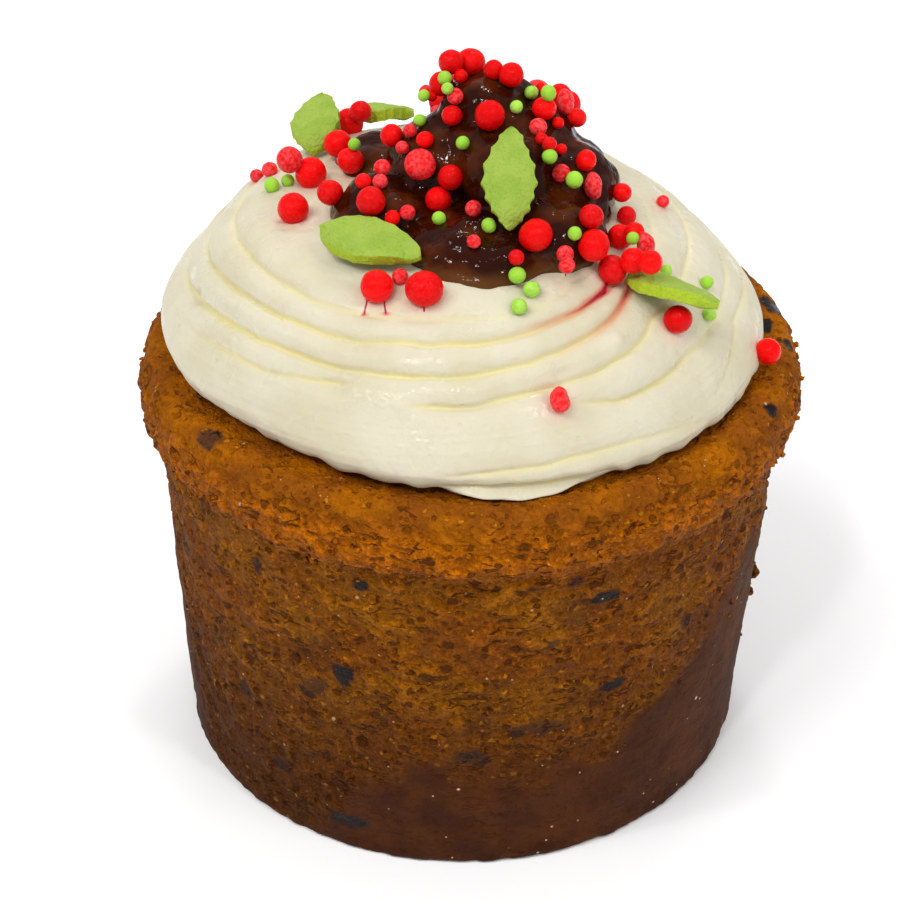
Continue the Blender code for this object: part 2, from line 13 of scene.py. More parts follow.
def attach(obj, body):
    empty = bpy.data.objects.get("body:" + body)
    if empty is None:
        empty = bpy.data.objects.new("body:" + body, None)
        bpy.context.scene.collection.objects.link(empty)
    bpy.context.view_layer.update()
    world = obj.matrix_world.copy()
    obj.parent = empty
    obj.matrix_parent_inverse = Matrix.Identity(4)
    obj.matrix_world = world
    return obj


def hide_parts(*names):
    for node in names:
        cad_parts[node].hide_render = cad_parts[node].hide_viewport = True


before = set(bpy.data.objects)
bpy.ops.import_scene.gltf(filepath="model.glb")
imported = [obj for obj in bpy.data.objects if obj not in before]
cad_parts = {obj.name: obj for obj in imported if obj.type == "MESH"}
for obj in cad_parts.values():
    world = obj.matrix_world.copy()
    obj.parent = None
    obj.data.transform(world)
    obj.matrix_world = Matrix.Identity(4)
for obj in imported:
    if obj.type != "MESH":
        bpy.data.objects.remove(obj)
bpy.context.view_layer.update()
mm = 0.001


def fade(value, low, high):
    # 0 below low, 1 above high, a smooth rise between
    t = min(max((value - low) / (high - low), 0), 1)
    return t * t * (3 - 2 * t)


def between(value, table):
    for (x0, y0), (x1, y1) in zip(table, table[1:]):
        if value <= x1:
            return y0 + (y1 - y0) * (value - x0) / (x1 - x0)
    return table[-1][1]


def smoothPath(points, count):
    # evenly spread points on a Catmull-Rom curve
    ends = [points[0], *points, points[-1]]
    path = []
    for i in range(count):
        place = i / (count - 1) * (len(points) - 1)
        step = min(int(place), len(points) - 2)
        t = place - step
        a, b, c, d = ends[step:step + 4]
        path.append(tuple(0.5 * (2 * q + (r - p) * t + (2 * p - 5 * q + 4 * r - s) * t * t
                                 + (3 * q - p - 3 * r + s) * t ** 3)
                          for p, q, r, s in zip(a, b, c, d)))
    return path


def rough(point, size, seed):
    return noise.noise(point / size + Vector((seed, 0, 0)))


def turnProfile(profile, steps):
    form = bmesh.new()
    chain = [form.verts.new((radius, 0, height)) for radius, height in profile]
    edges = [form.edges.new(pair) for pair in zip(chain, chain[1:])]
    bmesh.ops.spin(form, geom=chain + edges, cent=(0, 0, 0), axis=(0, 0, 1),
                   angle=math.tau, steps=steps, use_merge=True)
    bmesh.ops.remove_doubles(form, verts=form.verts[:], dist=0.002 * mm)
    bmesh.ops.recalc_face_normals(form, faces=form.faces[:])
    return form


def meshOf(name, form):
    mesh = bpy.data.meshes.new(name)
    form.to_mesh(mesh)
    form.free()
    return mesh


def addObject(name, data):
    made = bpy.data.objects.new(name, data)
    bpy.context.scene.collection.objects.link(made)
    return made


def ringPoint(turn, reach, height):
    return Vector((math.cos(turn) * reach, math.sin(turn) * reach, height))


def makePiece(name, form, material, replaced):
    mesh = meshOf(name, form)
    mesh.shade_smooth()
    mesh.materials.append(material)
    piece = addObject(name, mesh)
    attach(piece, "root")
    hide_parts(*replaced)
    print("made", name, len(mesh.polygons), "faces")
    return piece


def paint(form, name, values):
    # one colour for each vertex, read by the piece's material
    layer = form.verts.layers.float_color.new(name)
    for vertex, value in zip(form.verts, values):
        vertex[layer] = value


def feed(socket, value):
    # links a socket to another one, or sets a fixed value on it
    if isinstance(value, bpy.types.NodeSocket):
        socket.id_data.links.new(value, socket)
    elif socket.type == "RGBA" and len(value) == 3:
        socket.default_value = (*value, 1)
    else:
        socket.default_value = value


def addNode(tree, kind, inputs=None, **settings):
    made = tree.nodes.new(kind)
    for key, value in settings.items():
        setattr(made, key, value)
    for key, value in (inputs or {}).items():
        feed(made.inputs[key], value)
    return made


def newMaterial(name):
    made = bpy.data.materials.new(name)
    made.use_nodes = True
    tree = made.node_tree
    coords = addNode(tree, "ShaderNodeTexCoord").outputs["Object"]
    return made, tree, tree.nodes["Principled BSDF"], coords


def setShader(shader, **values):
    for key, value in values.items():
        feed(shader.inputs[key.replace("_", " ")], value)


def setBump(shader, height, distance, strength):
    inputs = {"Height": height, "Distance": distance, "Strength": strength}
    bump = addNode(shader.id_data, "ShaderNodeBump", inputs)
    feed(shader.inputs["Normal"], bump.outputs["Normal"])


def readMarks(tree, name):
    # what is painted on the piece's vertices, as three numbers
    painted = addNode(tree, "ShaderNodeAttribute", attribute_name=name).outputs["Color"]
    return addNode(tree, "ShaderNodeSeparateColor", {"Color": painted}).outputs


def mixColour(tree, share, first, second, blend="MIX"):
    inputs = {0: share, 6: first, 7: second}
    return addNode(tree, "ShaderNodeMix", inputs, data_type="RGBA", blend_type=blend).outputs[2]


def mixNumber(tree, share, first, second):
    return addNode(tree, "ShaderNodeMix", {0: share, 2: first, 3: second}).outputs[0]


def mathNode(tree, operation, *values, clamp=False):
    inputs = dict(enumerate(values))
    return addNode(tree, "ShaderNodeMath", inputs, operation=operation, use_clamp=clamp).outputs[0]


def times(tree, first, second):
    return mathNode(tree, "MULTIPLY", first, second)


def plus(tree, first, second):
    return mathNode(tree, "ADD", first, second)


def minus(tree, first, second):
    return mathNode(tree, "SUBTRACT", first, second)


def larger(tree, first, second):
    return mathNode(tree, "MAXIMUM", first, second)


def vectorNode(tree, operation, first, second):
    inputs = {0: first, "Scale" if operation == "SCALE" else 1: second}
    made = addNode(tree, "ShaderNodeVectorMath", inputs, operation=operation)
    return made.outputs["Value" if operation in ("DOT_PRODUCT", "DISTANCE") else "Vector"]


def noiseNode(tree, vector, scale, detail):
    return addNode(tree, "ShaderNodeTexNoise", {"Vector": vector, "Scale": scale, "Detail": detail}).outputs


def stretch(tree, value, low, high, first, last, way="LINEAR"):
    # first at low, last at high
    inputs = {"Value": value, "From Min": low, "From Max": high, "To Min": first, "To Max": last}
    return addNode(tree, "ShaderNodeMapRange", inputs, interpolation_type=way).outputs["Result"]


def rise(tree, value, low, high):
    # 0 at low, 1 at high; low may be the larger of the two
    return stretch(tree, value, low, high, 0.0, 1.0, "SMOOTHSTEP")


def newGroup(name, **kinds):
    # a node group with these inputs, which puts out one mask
    group = bpy.data.node_groups.new(name, "ShaderNodeTree")
    for label, kind in kinds.items():
        group.interface.new_socket(label, in_out="INPUT", socket_type="NodeSocket" + kind)
    group.interface.new_socket("Mask", in_out="OUTPUT", socket_type="NodeSocketFloat")
    return group, group.nodes.new("NodeGroupInput").outputs, group.nodes.new("NodeGroupOutput").inputs["Mask"]


def useGroup(tree, group, **inputs):
    return addNode(tree, "ShaderNodeGroup", inputs, node_tree=group).outputs["Mask"]


def makeMottle():
    # soft patches: noise, 0 below low and 1 above high
    group, given, mask = newGroup("mottle", Vector="Vector", Size="Float", Detail="Float", Low="Float",
                                  High="Float")
    cloud = noiseNode(group, given["Vector"], mathNode(group, "DIVIDE", 1.0, given["Size"]), given["Detail"])
    feed(mask, rise(group, cloud["Fac"], given["Low"], given["High"]))
    return group


def makeSpots():
    # scattered round spots, some cells left empty
    group, given, mask = newGroup("spots", Vector="Vector", Cell="Float", Radius="Float", Share="Float")
    scale = mathNode(group, "DIVIDE", 1.0, given["Cell"])
    cells = addNode(group, "ShaderNodeTexVoronoi", {"Vector": given["Vector"], "Scale": scale}).outputs
    chance = addNode(group, "ShaderNodeSeparateColor", {"Color": cells["Color"]}).outputs
    kept = mathNode(group, "LESS_THAN", chance["Red"], given["Share"])
    size = times(group, given["Radius"], plus(group, chance["Green"], 0.5))
    disc = stretch(group, cells["Distance"], times(group, size, 0.6), size, 1.0, 0.0)
    feed(mask, times(group, disc, kept))
    return group


def makeStroke():
    # a stroke between two places that narrows and fades evenly from one to the other
    group, given, mask = newGroup("stroke", Vector="Vector", From="Vector", To="Vector", Width="Float",
                                  EndWidth="Float", Strength="Float", EndStrength="Float")
    line = vectorNode(group, "SUBTRACT", given["To"], given["From"])
    off = vectorNode(group, "SUBTRACT", given["Vector"], given["From"])
    whole = vectorNode(group, "DOT_PRODUCT", line, line)
    share = mathNode(group, "DIVIDE", vectorNode(group, "DOT_PRODUCT", off, line), whole, clamp=True)
    away = vectorNode(group, "DISTANCE", off, vectorNode(group, "SCALE", line, share))
    width = mixNumber(group, share, given["Width"], given["EndWidth"])
    strength = mixNumber(group, share, given["Strength"], given["EndStrength"])
    near = stretch(group, mathNode(group, "DIVIDE", away, width), 0.3, 1.0, 1.0, 0.0, "SMOOTHSTEP")
    feed(mask, times(group, near, strength))
    return group


mottle = makeMottle()
spots = makeSpots()
stroke = makeStroke()


def patchy(tree, vector, size, low, high, detail=3.0):
    return useGroup(tree, mottle, Vector=vector, Size=size, Detail=detail, Low=low, High=high)


def spotted(tree, vector, cell, radius, share):
    return useGroup(tree, spots, Vector=vector, Cell=cell, Radius=radius, Share=share)


studio = {
    "cameraPlace": Vector((-2.5, -232.13, 191.57)) * mm,
    "cameraTarget": Vector((-2.5, 0, 35)) * mm,
    "lens": 89.8, "clipStart": 10 * mm,
    "worldStrength": 0.47,
    "floorColour": (0.97, 0.97, 0.97), "floorHalf": 4,
    "lampAim": Vector((0, 0, 50)) * mm,
    # only lamps smaller than this show in wet surfaces, in metres
    "shownBelow": 0.1,
    # place and size across in metres, watts
    "lamps": {
        "keyLamp": (Vector((-0.38, -0.30, 0.80)), 0.38, 3.3),
        "fillLamp": (Vector((0.55, -0.40, 0.50)), 0.4, 1.8),
        "backLamp": (Vector((0.1, 0.6, 0.6)), 0.5, 2.2),
        "glintLamp": (Vector((-0.16, -0.42, 0.62)), 0.05, 0.75),
        "sparkLamp": (Vector((0.24, -0.30, 0.66)), 0.04, 0.5),
        "leftGlintLamp": (Vector((-0.42, -0.22, 0.52)), 0.04, 0.35),
        "backGlintLamp": (Vector((0.06, 0.34, 0.74)), 0.05, 0.4),
    },
}


def lookAt(obj, place, target):
    obj.location = place
    obj.rotation_euler = (target - place).to_track_quat("-Z", "Y").to_euler()


def makeStudio():
    camera = addObject("camera", bpy.data.cameras.new("camera"))
    camera.data.lens = studio["lens"]
    camera.data.clip_start = studio["clipStart"]
    lookAt(camera, studio["cameraPlace"], studio["cameraTarget"])
    bpy.context.scene.camera = camera
    for name, (place, across, watts) in studio["lamps"].items():
        lamp = addObject(name, bpy.data.lights.new(name, "AREA"))
        lamp.data.size = across
        lamp.data.energy = watts
        lamp.visible_glossy = across < studio["shownBelow"]
        lookAt(lamp, place, studio["lampAim"])
    world = bpy.data.worlds.new("studio")
    world.use_nodes = True
    setShader(world.node_tree.nodes["Background"], Color=(1, 1, 1), Strength=studio["worldStrength"])
    bpy.context.scene.world = world
    form = bmesh.new()
    bmesh.ops.create_grid(form, x_segments=1, y_segments=1, size=studio["floorHalf"])
    floor = addObject("floor", meshOf("floor", form))
    pale, _, shader, _ = newMaterial("paleFloor")
    setShader(shader, Base_Color=studio["floorColour"], Roughness=0.9)
    floor.data.materials.append(pale)
    bpy.context.scene.view_settings.view_transform = "Standard"
    print("studio is set")


cookie = {
    "lipRadius": 39.8, "lipUnderside": 43.4, "wallRadius": 38.0, "footRadius": 35.3, "footRounding": 0.9,
    "top": 52.0, "crest": 0.5, "seatRadius": 34.2, "shoulderRadius": 3.4, "shoulderDrop": 4.4,
    "footShift": Vector((-0.9, -1.6, 0)) * mm,
    "steps": 440, "wallRows": 78, "lipRows": 13, "shoulderRows": 16, "topRows": 14,
    "lumps": 0.45 * mm, "crumb": 0.11 * mm, "lipCrumb": 0.24 * mm, "pit": 0.34 * mm, "crackDepth": 0.22 * mm,
    "footRagged": 0.38 * mm,
    "notchFrom": Vector((18.7, -28.1, 52.0)) * mm, "notchTo": Vector((24.0, -36.5, 51.0)) * mm,
    "notchDepth": 1.0 * mm, "notchWidth": 1.3 * mm,
    # heights between which the lip's rough crumb starts and ends
    "lipStart": (42 * mm, 44 * mm), "lipEnd": (49 * mm, 51 * mm), "openFrom": 43 * mm, "topSkin": 0.7,
    # heights between which the colours of the lip's band and of the top, and the painted shade of the foot,
    # come in
    "bandFade": (42.2 * mm, 45.0 * mm), "crownFade": (48.0 * mm, 51.2 * mm), "footShadeFade": (36 * mm, 3 * mm),
    # the smooth, darker skin reaches up to this height at each direction: degrees, mm
    "skinLine": [(-180, 36), (-168, 30), (-160, 8), (-148, -4), (-125, -3), (-113, 9), (-100, 15),
                 (-78, 14), (-62, 15), (-45, 21), (-30, 31), (0, 38), (40, 28), (75, 17), (110, 14),
                 (150, 26), (180, 36)],
    # dark chips: direction, height, distance from the axis, half width, half height, how dark
    "chips": [(-109, 41.3, 38.2, 1.0, 0.9, 1), (-130, 38.8, 38.2, 0.6, 1.4, 0.8),
              (-113, 27.4, 37.9, 1.5, 1.6, 1), (-67, 38.6, 38.0, 2.1, 0.9, 1),
              (-64, 24.8, 37.4, 1.9, 0.9, 0.9), (-50, 43.7, 39.0, 1.6, 0.7, 0.9),
              (-27, 27.4, 36.9, 0.8, 1.9, 0.7), (-48, 29.8, 37.4, 1.1, 1.2, 0.6),
              (-78, 21.0, 37.4, 3.6, 1.2, 0.55), (-90, 17.2, 37.4, 2.3, 1.1, 0.7),
              (-113, 4.4, 37.2, 2.4, 1.2, 0.9), (-136, 18.1, 37.6, 1.2, 1.3, 0.7),
              (-119, 23.9, 37.8, 2.0, 2.0, 0.6), (-75, 29.5, 37.5, 3.0, 0.7, 0.45),
              (-142, 52.2, 37.4, 2.0, 1.4, 0.8), (-26, 51.7, 38.3, 1.2, 1.0, 1),
              (10, 52.2, 37.7, 2.0, 1.8, 1), (2, 52.3, 35.6, 1.6, 1.1, 1), (-4, 51.9, 38.1, 1.1, 0.8, 1),
              (-98, 8.0, 36.3, 2.6, 0.9, 0.7), (-128, 9.0, 37.0, 1.3, 0.9, 0.7),
              (-80, 41.8, 38.2, 1.7, 0.5, 0.7), (-73, 41.9, 38.2, 1.2, 0.6, 0.8),
              (-98, 33.2, 37.9, 1.0, 0.9, 0.4), (-104, 33.6, 37.9, 0.9, 0.8, 0.35),
              (-76, 33.4, 37.8, 0.9, 0.9, 0.6), (-40, 38.0, 37.7, 0.9, 0.8, 0.7)],
    "backChips": 22, "backSeed": 4,
    # spots scattered in cells: cell in mm, radius, share of the cells and, for the holes, depth, which also
    # sets how dark their painted shade is
    "holes": [(2.6, 0.26, 0.34, 1.0), (1.4, 0.34, 0.36, 0.9), (0.75, 0.40, 0.30, 0.6)],
    "paintedGlints": [(1.6, 0.12, 0.09), (0.75, 0.14, 0.06)],
    "bump": 0.45 * mm,
    "tints": {
        "side": (0.300, 0.080, 0.002), "warmSide": (0.360, 0.116, 0.002), "dusky": (0.130, 0.040, 0.010),
        # foot is painted shade: the side gets darker toward the foot
        "foot": (0.100, 0.029, 0.003), "lip": (0.530, 0.140, 0.001),
        "top": (0.265, 0.073, 0.005), "paleTop": (0.400, 0.118, 0.002),
        "skin": (0.034, 0.0085, 0.0040), "paleSkin": (0.072, 0.0190, 0.0042),
        # dusk is a grey painted sheen for the side where it turns away
        # gap is the painted shade inside holes and cracks
        "gap": (0.052, 0.013, 0.002), "grainHighlight": (0.66, 0.26, 0.012), "paintedSheen": (0.110, 0.060, 0.042),
        "stain": (0.036, 0.020, 0.017), "chip": (0.010, 0.0060, 0.0050), "paintedGlint": (0.72, 0.50, 0.30),
    },
}


def cookieProfile():
    c = cookie
    points = [(radius, c["top"]) for radius in (0, 8, 16, 22, 27, 30, 31.5)]
    crest = c["lipRadius"] - c["shoulderRadius"]
    for i in range(c["topRows"]):
        share = i / c["topRows"]
        points.append((32.5 + (crest - 32.5) * share, c["top"] + c["crest"] * fade(share, 0.3, 1)))
    for i in range(c["shoulderRows"] + 1):
        turn = math.radians(90 * i / c["shoulderRows"])
        points.append((crest + c["shoulderRadius"] * math.sin(turn),
                       c["top"] + c["crest"] - c["shoulderDrop"] * (1 - math.cos(turn))))
    low = points[-1][1]
    for i in range(1, c["lipRows"] + 1):
        share = i / c["lipRows"]
        inset = (c["lipRadius"] - c["wallRadius"]) * fade(share, 0.45, 1) + 0.2 * share
        points.append((c["lipRadius"] - inset, low + (c["lipUnderside"] - 0.5 - low) * share))
    for i in range(1, c["wallRows"] + 1):
        share = i / c["wallRows"]
        points.append((c["wallRadius"] - 0.2 + (c["footRadius"] - c["wallRadius"] + 0.2) * share,
                       c["lipUnderside"] - 0.5 + (c["footRounding"] - c["lipUnderside"] + 0.5) * share))
    for i in range(1, 4):
        turn = math.radians(30 * i)
        points.append((c["footRadius"] - c["footRounding"] * (1 - math.cos(turn)),
                       c["footRounding"] * (1 - math.sin(turn))))
    points += [(33, 0), (28, 0), (18, 0), (0, 0)]
    return [(radius * mm, height * mm) for radius, height in points]


def chipPlaces():
    places = []
    draw = random.Random(cookie["backSeed"])
    listed = list(cookie["chips"])
    for _ in range(cookie["backChips"]):
        height = draw.uniform(3, 42)
        listed.append((draw.uniform(18, 172), height, 35.3 + 2.7 * height / 43.4,
                       draw.uniform(0.8, 2.6), draw.uniform(0.7, 1.6), draw.uniform(0.5, 1)))
    for direction, height, reach, wide, high, dark in listed:
        turn = math.radians(direction)
        tangent = Vector((-math.sin(turn), math.cos(turn), 0))
        centre = ringPoint(turn, reach, height) * mm
        places.append((centre, tangent, wide * mm, high * mm, dark))
    return places


def chipAt(point, places):
    darkest = 0
    for centre, tangent, wide, high, dark in places:
        off = point - centre
        if off.length > 6 * mm:
            continue
        across = off.dot(tangent)
        other = off.length_squared - across * across
        reach = math.sqrt((across / wide) ** 2 + other / high ** 2) + 0.55 * rough(point, 1.3 * mm, 21)
        darkest = max(darkest, dark * (1 - fade(reach, 0.7, 1.3)))
    return darkest


def skinAt(point, direction):
    # 1 where the side is smooth skin, 0 where it is open crumb
    if point.z > cookie["lipEnd"][1]:
        return cookie["topSkin"]
    if point.z > cookie["openFrom"]:
        return 0
    line = between(direction, cookie["skinLine"]) * mm + 5 * mm * rough(point, 7 * mm, 31)
    return 1 - fade(point.z, line - 1.5 * mm, line + 1.5 * mm)


def pitAt(point, size, share, seed):
    # depth of the nearest hole, from 0 to 1
    stretched = Vector((point.x, point.y, point.z * 1.5)) / size + Vector((seed, seed, 0))
    distances, centres = noise.voronoi(stretched)
    chance = noise.cell(centres[0] * 7.3)
    if chance > share:
        return 0
    return 1 - fade(distances[0], 0.05, 0.2 + 0.6 * chance)


def crackAt(point):
    # long thin gaps, mostly level
    flat = Vector((point.x, point.y, point.z * 2.2))
    line = rough(flat, 2.6 * mm, 3)
    slope = rough(flat + Vector((0, 0, 0.25 * mm)), 2.6 * mm, 3)
    where = fade(rough(point, 4 * mm, 41), 0.1, 0.4)
    return (1 - fade(abs(line), 0.0, 0.05 + abs(slope - line))) * where


def footShiftAt(height):
    # the cup leans a little, so its foot isn't below its lip's middle
    return cookie["footShift"] * (1 - height / (cookie["top"] * mm))


def notchAt(point):
    line = cookie["notchTo"] - cookie["notchFrom"]
    share = min(max((point - cookie["notchFrom"]).dot(line) / line.length_squared, 0), 1)
    away = (point - cookie["notchFrom"] - line * share).length
    return cookie["notchDepth"] * share * math.exp(-(away / cookie["notchWidth"]) ** 2)


def broadCookieColour(tree, coords, level, skin):
    # the side, the lip's band, the top and the smooth skin, with painted shade toward the foot
    tints = cookie["tints"]
    height = addNode(tree, "ShaderNodeSeparateXYZ", {"Vector": coords}).outputs["Z"]
    drift = minus(tree, noiseNode(tree, coords, 160.0, 3.0)["Fac"], 0.5)
    height = plus(tree, height, times(tree, drift, 5 * mm))
    band = rise(tree, height, *cookie["bandFade"])
    crown = rise(tree, height, *cookie["crownFade"])
    foot = rise(tree, height, *cookie["footShadeFade"])
    smooth = times(tree, skin, minus(tree, 1.0, crown))
    patches = patchy(tree, level, 10 * mm, low=0.40, high=0.62)
    dusky = patchy(tree, coords, 7 * mm, low=0.54, high=0.66)
    tops = patchy(tree, coords, 6 * mm, low=0.38, high=0.66)
    colour = mixColour(tree, patches, tints["side"], tints["warmSide"])
    colour = mixColour(tree, times(tree, dusky, 0.55), colour, tints["dusky"])
    # painted shade: the side darkens toward the foot
    colour = mixColour(tree, foot, colour, tints["foot"])
    colour = mixColour(tree, band, colour, tints["lip"])
    colour = mixColour(tree, crown, colour, mixColour(tree, tops, tints["top"], tints["paleTop"]))
    skinColour = mixColour(tree, tops, tints["skin"], tints["paleSkin"])
    return mixColour(tree, times(tree, smooth, 0.9), colour, skinColour), smooth, crown


def crumbHolesAndShade(tree, level, ragged):
    # ragged open holes of three sizes, and short level cracks: one mask for their relief and for the painted
    # shade in them
    holes = 0.0
    for cell, radius, share, depth in cookie["holes"]:
        holes = larger(tree, holes, times(tree, spotted(tree, ragged, cell * mm, radius, share), depth))
    bands = noiseNode(tree, vectorNode(tree, "MULTIPLY", ragged, (1, 1, 3)), 260.0, 1.0)["Fac"]
    ridge = mathNode(tree, "ABSOLUTE", minus(tree, bands, 0.5))
    gate = patchy(tree, level, 4 * mm, low=0.53, high=0.60, detail=2.0)
    return larger(tree, holes, times(tree, rise(tree, ridge, 0.035, 0.008), gate))


def makeCookieMaterial():
    tints = cookie["tints"]
    made, tree, shader, coords = newMaterial("cookieCrumb")
    marks = readMarks(tree, "crumb")
    chip, skin, pit = marks["Red"], marks["Green"], marks["Blue"]
    level = addNode(tree, "ShaderNodeMapping", {"Vector": coords, "Scale": (1, 1, 1.3)}).outputs["Vector"]
    colour, smooth, crown = broadCookieColour(tree, coords, level, skin)
    # crumb: grains of two sizes and clumps, calmer on the skin and on the top
    coarse = patchy(tree, level, 1.5 * mm, low=0.32, high=0.68, detail=5.0)
    grain = patchy(tree, coords, 0.36 * mm, low=0.32, high=0.68)
    jolt = vectorNode(tree, "SCALE", noiseNode(tree, coords, 1400.0, 2.0)["Color"], 0.75 * mm)
    ragged = vectorNode(tree, "ADD", level, jolt)
    clumps = addNode(tree, "ShaderNodeTexVoronoi", {"Vector": ragged, "Scale": 1150.0}).outputs["Distance"]
    shade = plus(tree, times(tree, coarse, 0.22), times(tree, grain, 0.38))
    shade = plus(tree, shade, times(tree, rise(tree, clumps, 0.75, 0.1), 0.40))
    calm = larger(tree, times(tree, smooth, 0.7), times(tree, crown, 0.45))
    crumbly = minus(tree, 1.0, calm)
    tone = mixNumber(tree, calm, stretch(tree, shade, 0.12, 0.88, 0.55, 1.22), 1.0)
    grey = addNode(tree, "ShaderNodeCombineColor", {"Red": tone, "Green": tone, "Blue": tone})
    colour = mixColour(tree, 1.0, colour, grey.outputs["Color"], "MULTIPLY")
    gaps = times(tree, crumbHolesAndShade(tree, level, ragged), crumbly)
    # painted shade: pits, holes and cracks are darkened where shade falls in them
    dark = larger(tree, times(tree, pit, 0.3), times(tree, gaps, 0.85))
    colour = mixColour(tree, dark, colour, tints["gap"])
    # painted highlights: bright yellow-orange grains, left off the smooth skin and the darkened holes
    grainHighlights = times(tree, spotted(tree, ragged, 1.3 * mm, 0.26, 0.30), minus(tree, 1.0, smooth))
    grainHighlights = times(tree, grainHighlights, minus(tree, 1.0, dark))
    colour = mixColour(tree, times(tree, grainHighlights, 0.5), colour, tints["grainHighlight"])
    # painted sheen: the side greys where it turns away
    paintedSheen = addNode(tree, "ShaderNodeLayerWeight", {"Blend": 0.30}).outputs["Facing"]
    paintedSheen = times(tree, paintedSheen, minus(tree, 1.0, crown))
    colour = mixColour(tree, times(tree, paintedSheen, 0.5), colour, tints["paintedSheen"])
    # soft stains where a chip lies below the crumb, and bare chips
    chipEdge = plus(tree, chip, times(tree, minus(tree, shade, 0.5), 0.4))
    colour = mixColour(tree, times(tree, rise(tree, chipEdge, 0.05, 0.75), 0.82), colour, tints["stain"])
    inside = rise(tree, chipEdge, 0.70, 0.86)
    colour = mixColour(tree, inside, colour, tints["chip"])
    # painted glints: pale specks for the sugar's glints, stronger on the smooth skin
    paintedGlint = 0.0
    for cell, radius, share in cookie["paintedGlints"]:
        paintedGlint = larger(tree, paintedGlint, spotted(tree, coords, cell * mm, radius, share))
    paintedGlint = times(tree, paintedGlint, plus(tree, 0.5, times(tree, smooth, 0.4)))
    colour = mixColour(tree, paintedGlint, colour, tints["paintedGlint"])
    setShader(shader, Base_Color=colour, Roughness=minus(tree, 0.6, times(tree, inside, 0.3)),
              Specular_IOR_Level=plus(tree, 0.02, times(tree, inside, 0.07)))
    relief = plus(tree, times(tree, shade, crumbly), times(tree, grainHighlights, 0.5))
    relief = minus(tree, relief, times(tree, gaps, 1.3))
    relief = times(tree, relief, minus(tree, 1.0, times(tree, inside, 0.8)))
    setBump(shader, relief, cookie["bump"], 1.0)
    return made


def makeCookie():
    form = turnProfile(cookieProfile(), cookie["steps"])
    form.normal_update()
    places = chipPlaces()
    marks = []
    for vertex in form.verts:
        point = vertex.co.copy()
        radius = math.hypot(point.x, point.y)
        if radius < 30 * mm:
            vertex.co += footShiftAt(point.z)
            marks.append((0, 0.5, 0, 1))
            continue
        direction = math.degrees(math.atan2(point.y, point.x))
        outward = Vector((point.x, point.y, 0)).normalized()
        free = fade(point.z, 0, 3 * mm)
        onTop = fade(radius, (cookie["seatRadius"] - 1) * mm, cookie["seatRadius"] * mm)
        lumps = 0.6 * rough(point, 9 * mm, 0) + 0.4 * rough(point, 4 * mm, 5)
        skin = skinAt(point, direction)
        crumbly = 1 - 0.8 * skin
        lip = fade(point.z, *cookie["lipStart"]) * (1 - fade(point.z, *cookie["lipEnd"]))
        chip = chipAt(point + footShiftAt(point.z), places)
        pit = max(pitAt(point, 2.4 * mm, 0.22, 1), pitAt(point, 1.3 * mm, 0.22, 5)) * crumbly * (1 - chip)
        crack = crackAt(point) * crumbly * (1 - chip)
        crumb = noise.fractal(point / (1.3 * mm), 0.9, 2.1, 3)
        vertex.co += outward * cookie["lumps"] * lumps * free * onTop
        vertex.co.z -= notchAt(point)
        ragged = 0.6 * rough(point, 1.9 * mm, 51) + 0.4 * rough(point, 0.9 * mm, 52)
        vertex.co += outward * cookie["footRagged"] * ragged * (1 - fade(point.z, 0.5 * mm, 5 * mm))
        size = cookie["crumb"] + (cookie["lipCrumb"] - cookie["crumb"]) * lip
        push = size * crumb * (1 - 0.7 * skin) - cookie["pit"] * pit - cookie["crackDepth"] * crack
        vertex.co += vertex.normal * (push - 0.12 * mm * chip) * free
        vertex.co += footShiftAt(point.z)
        # blue marks where pits and cracks get painted shade
        marks.append((chip, skin, min(pit + 0.8 * crack, 1), 1))
    paint(form, "crumb", marks)
    return makePiece("cookieCup", form, makeCookieMaterial(), ["cookie_base"])


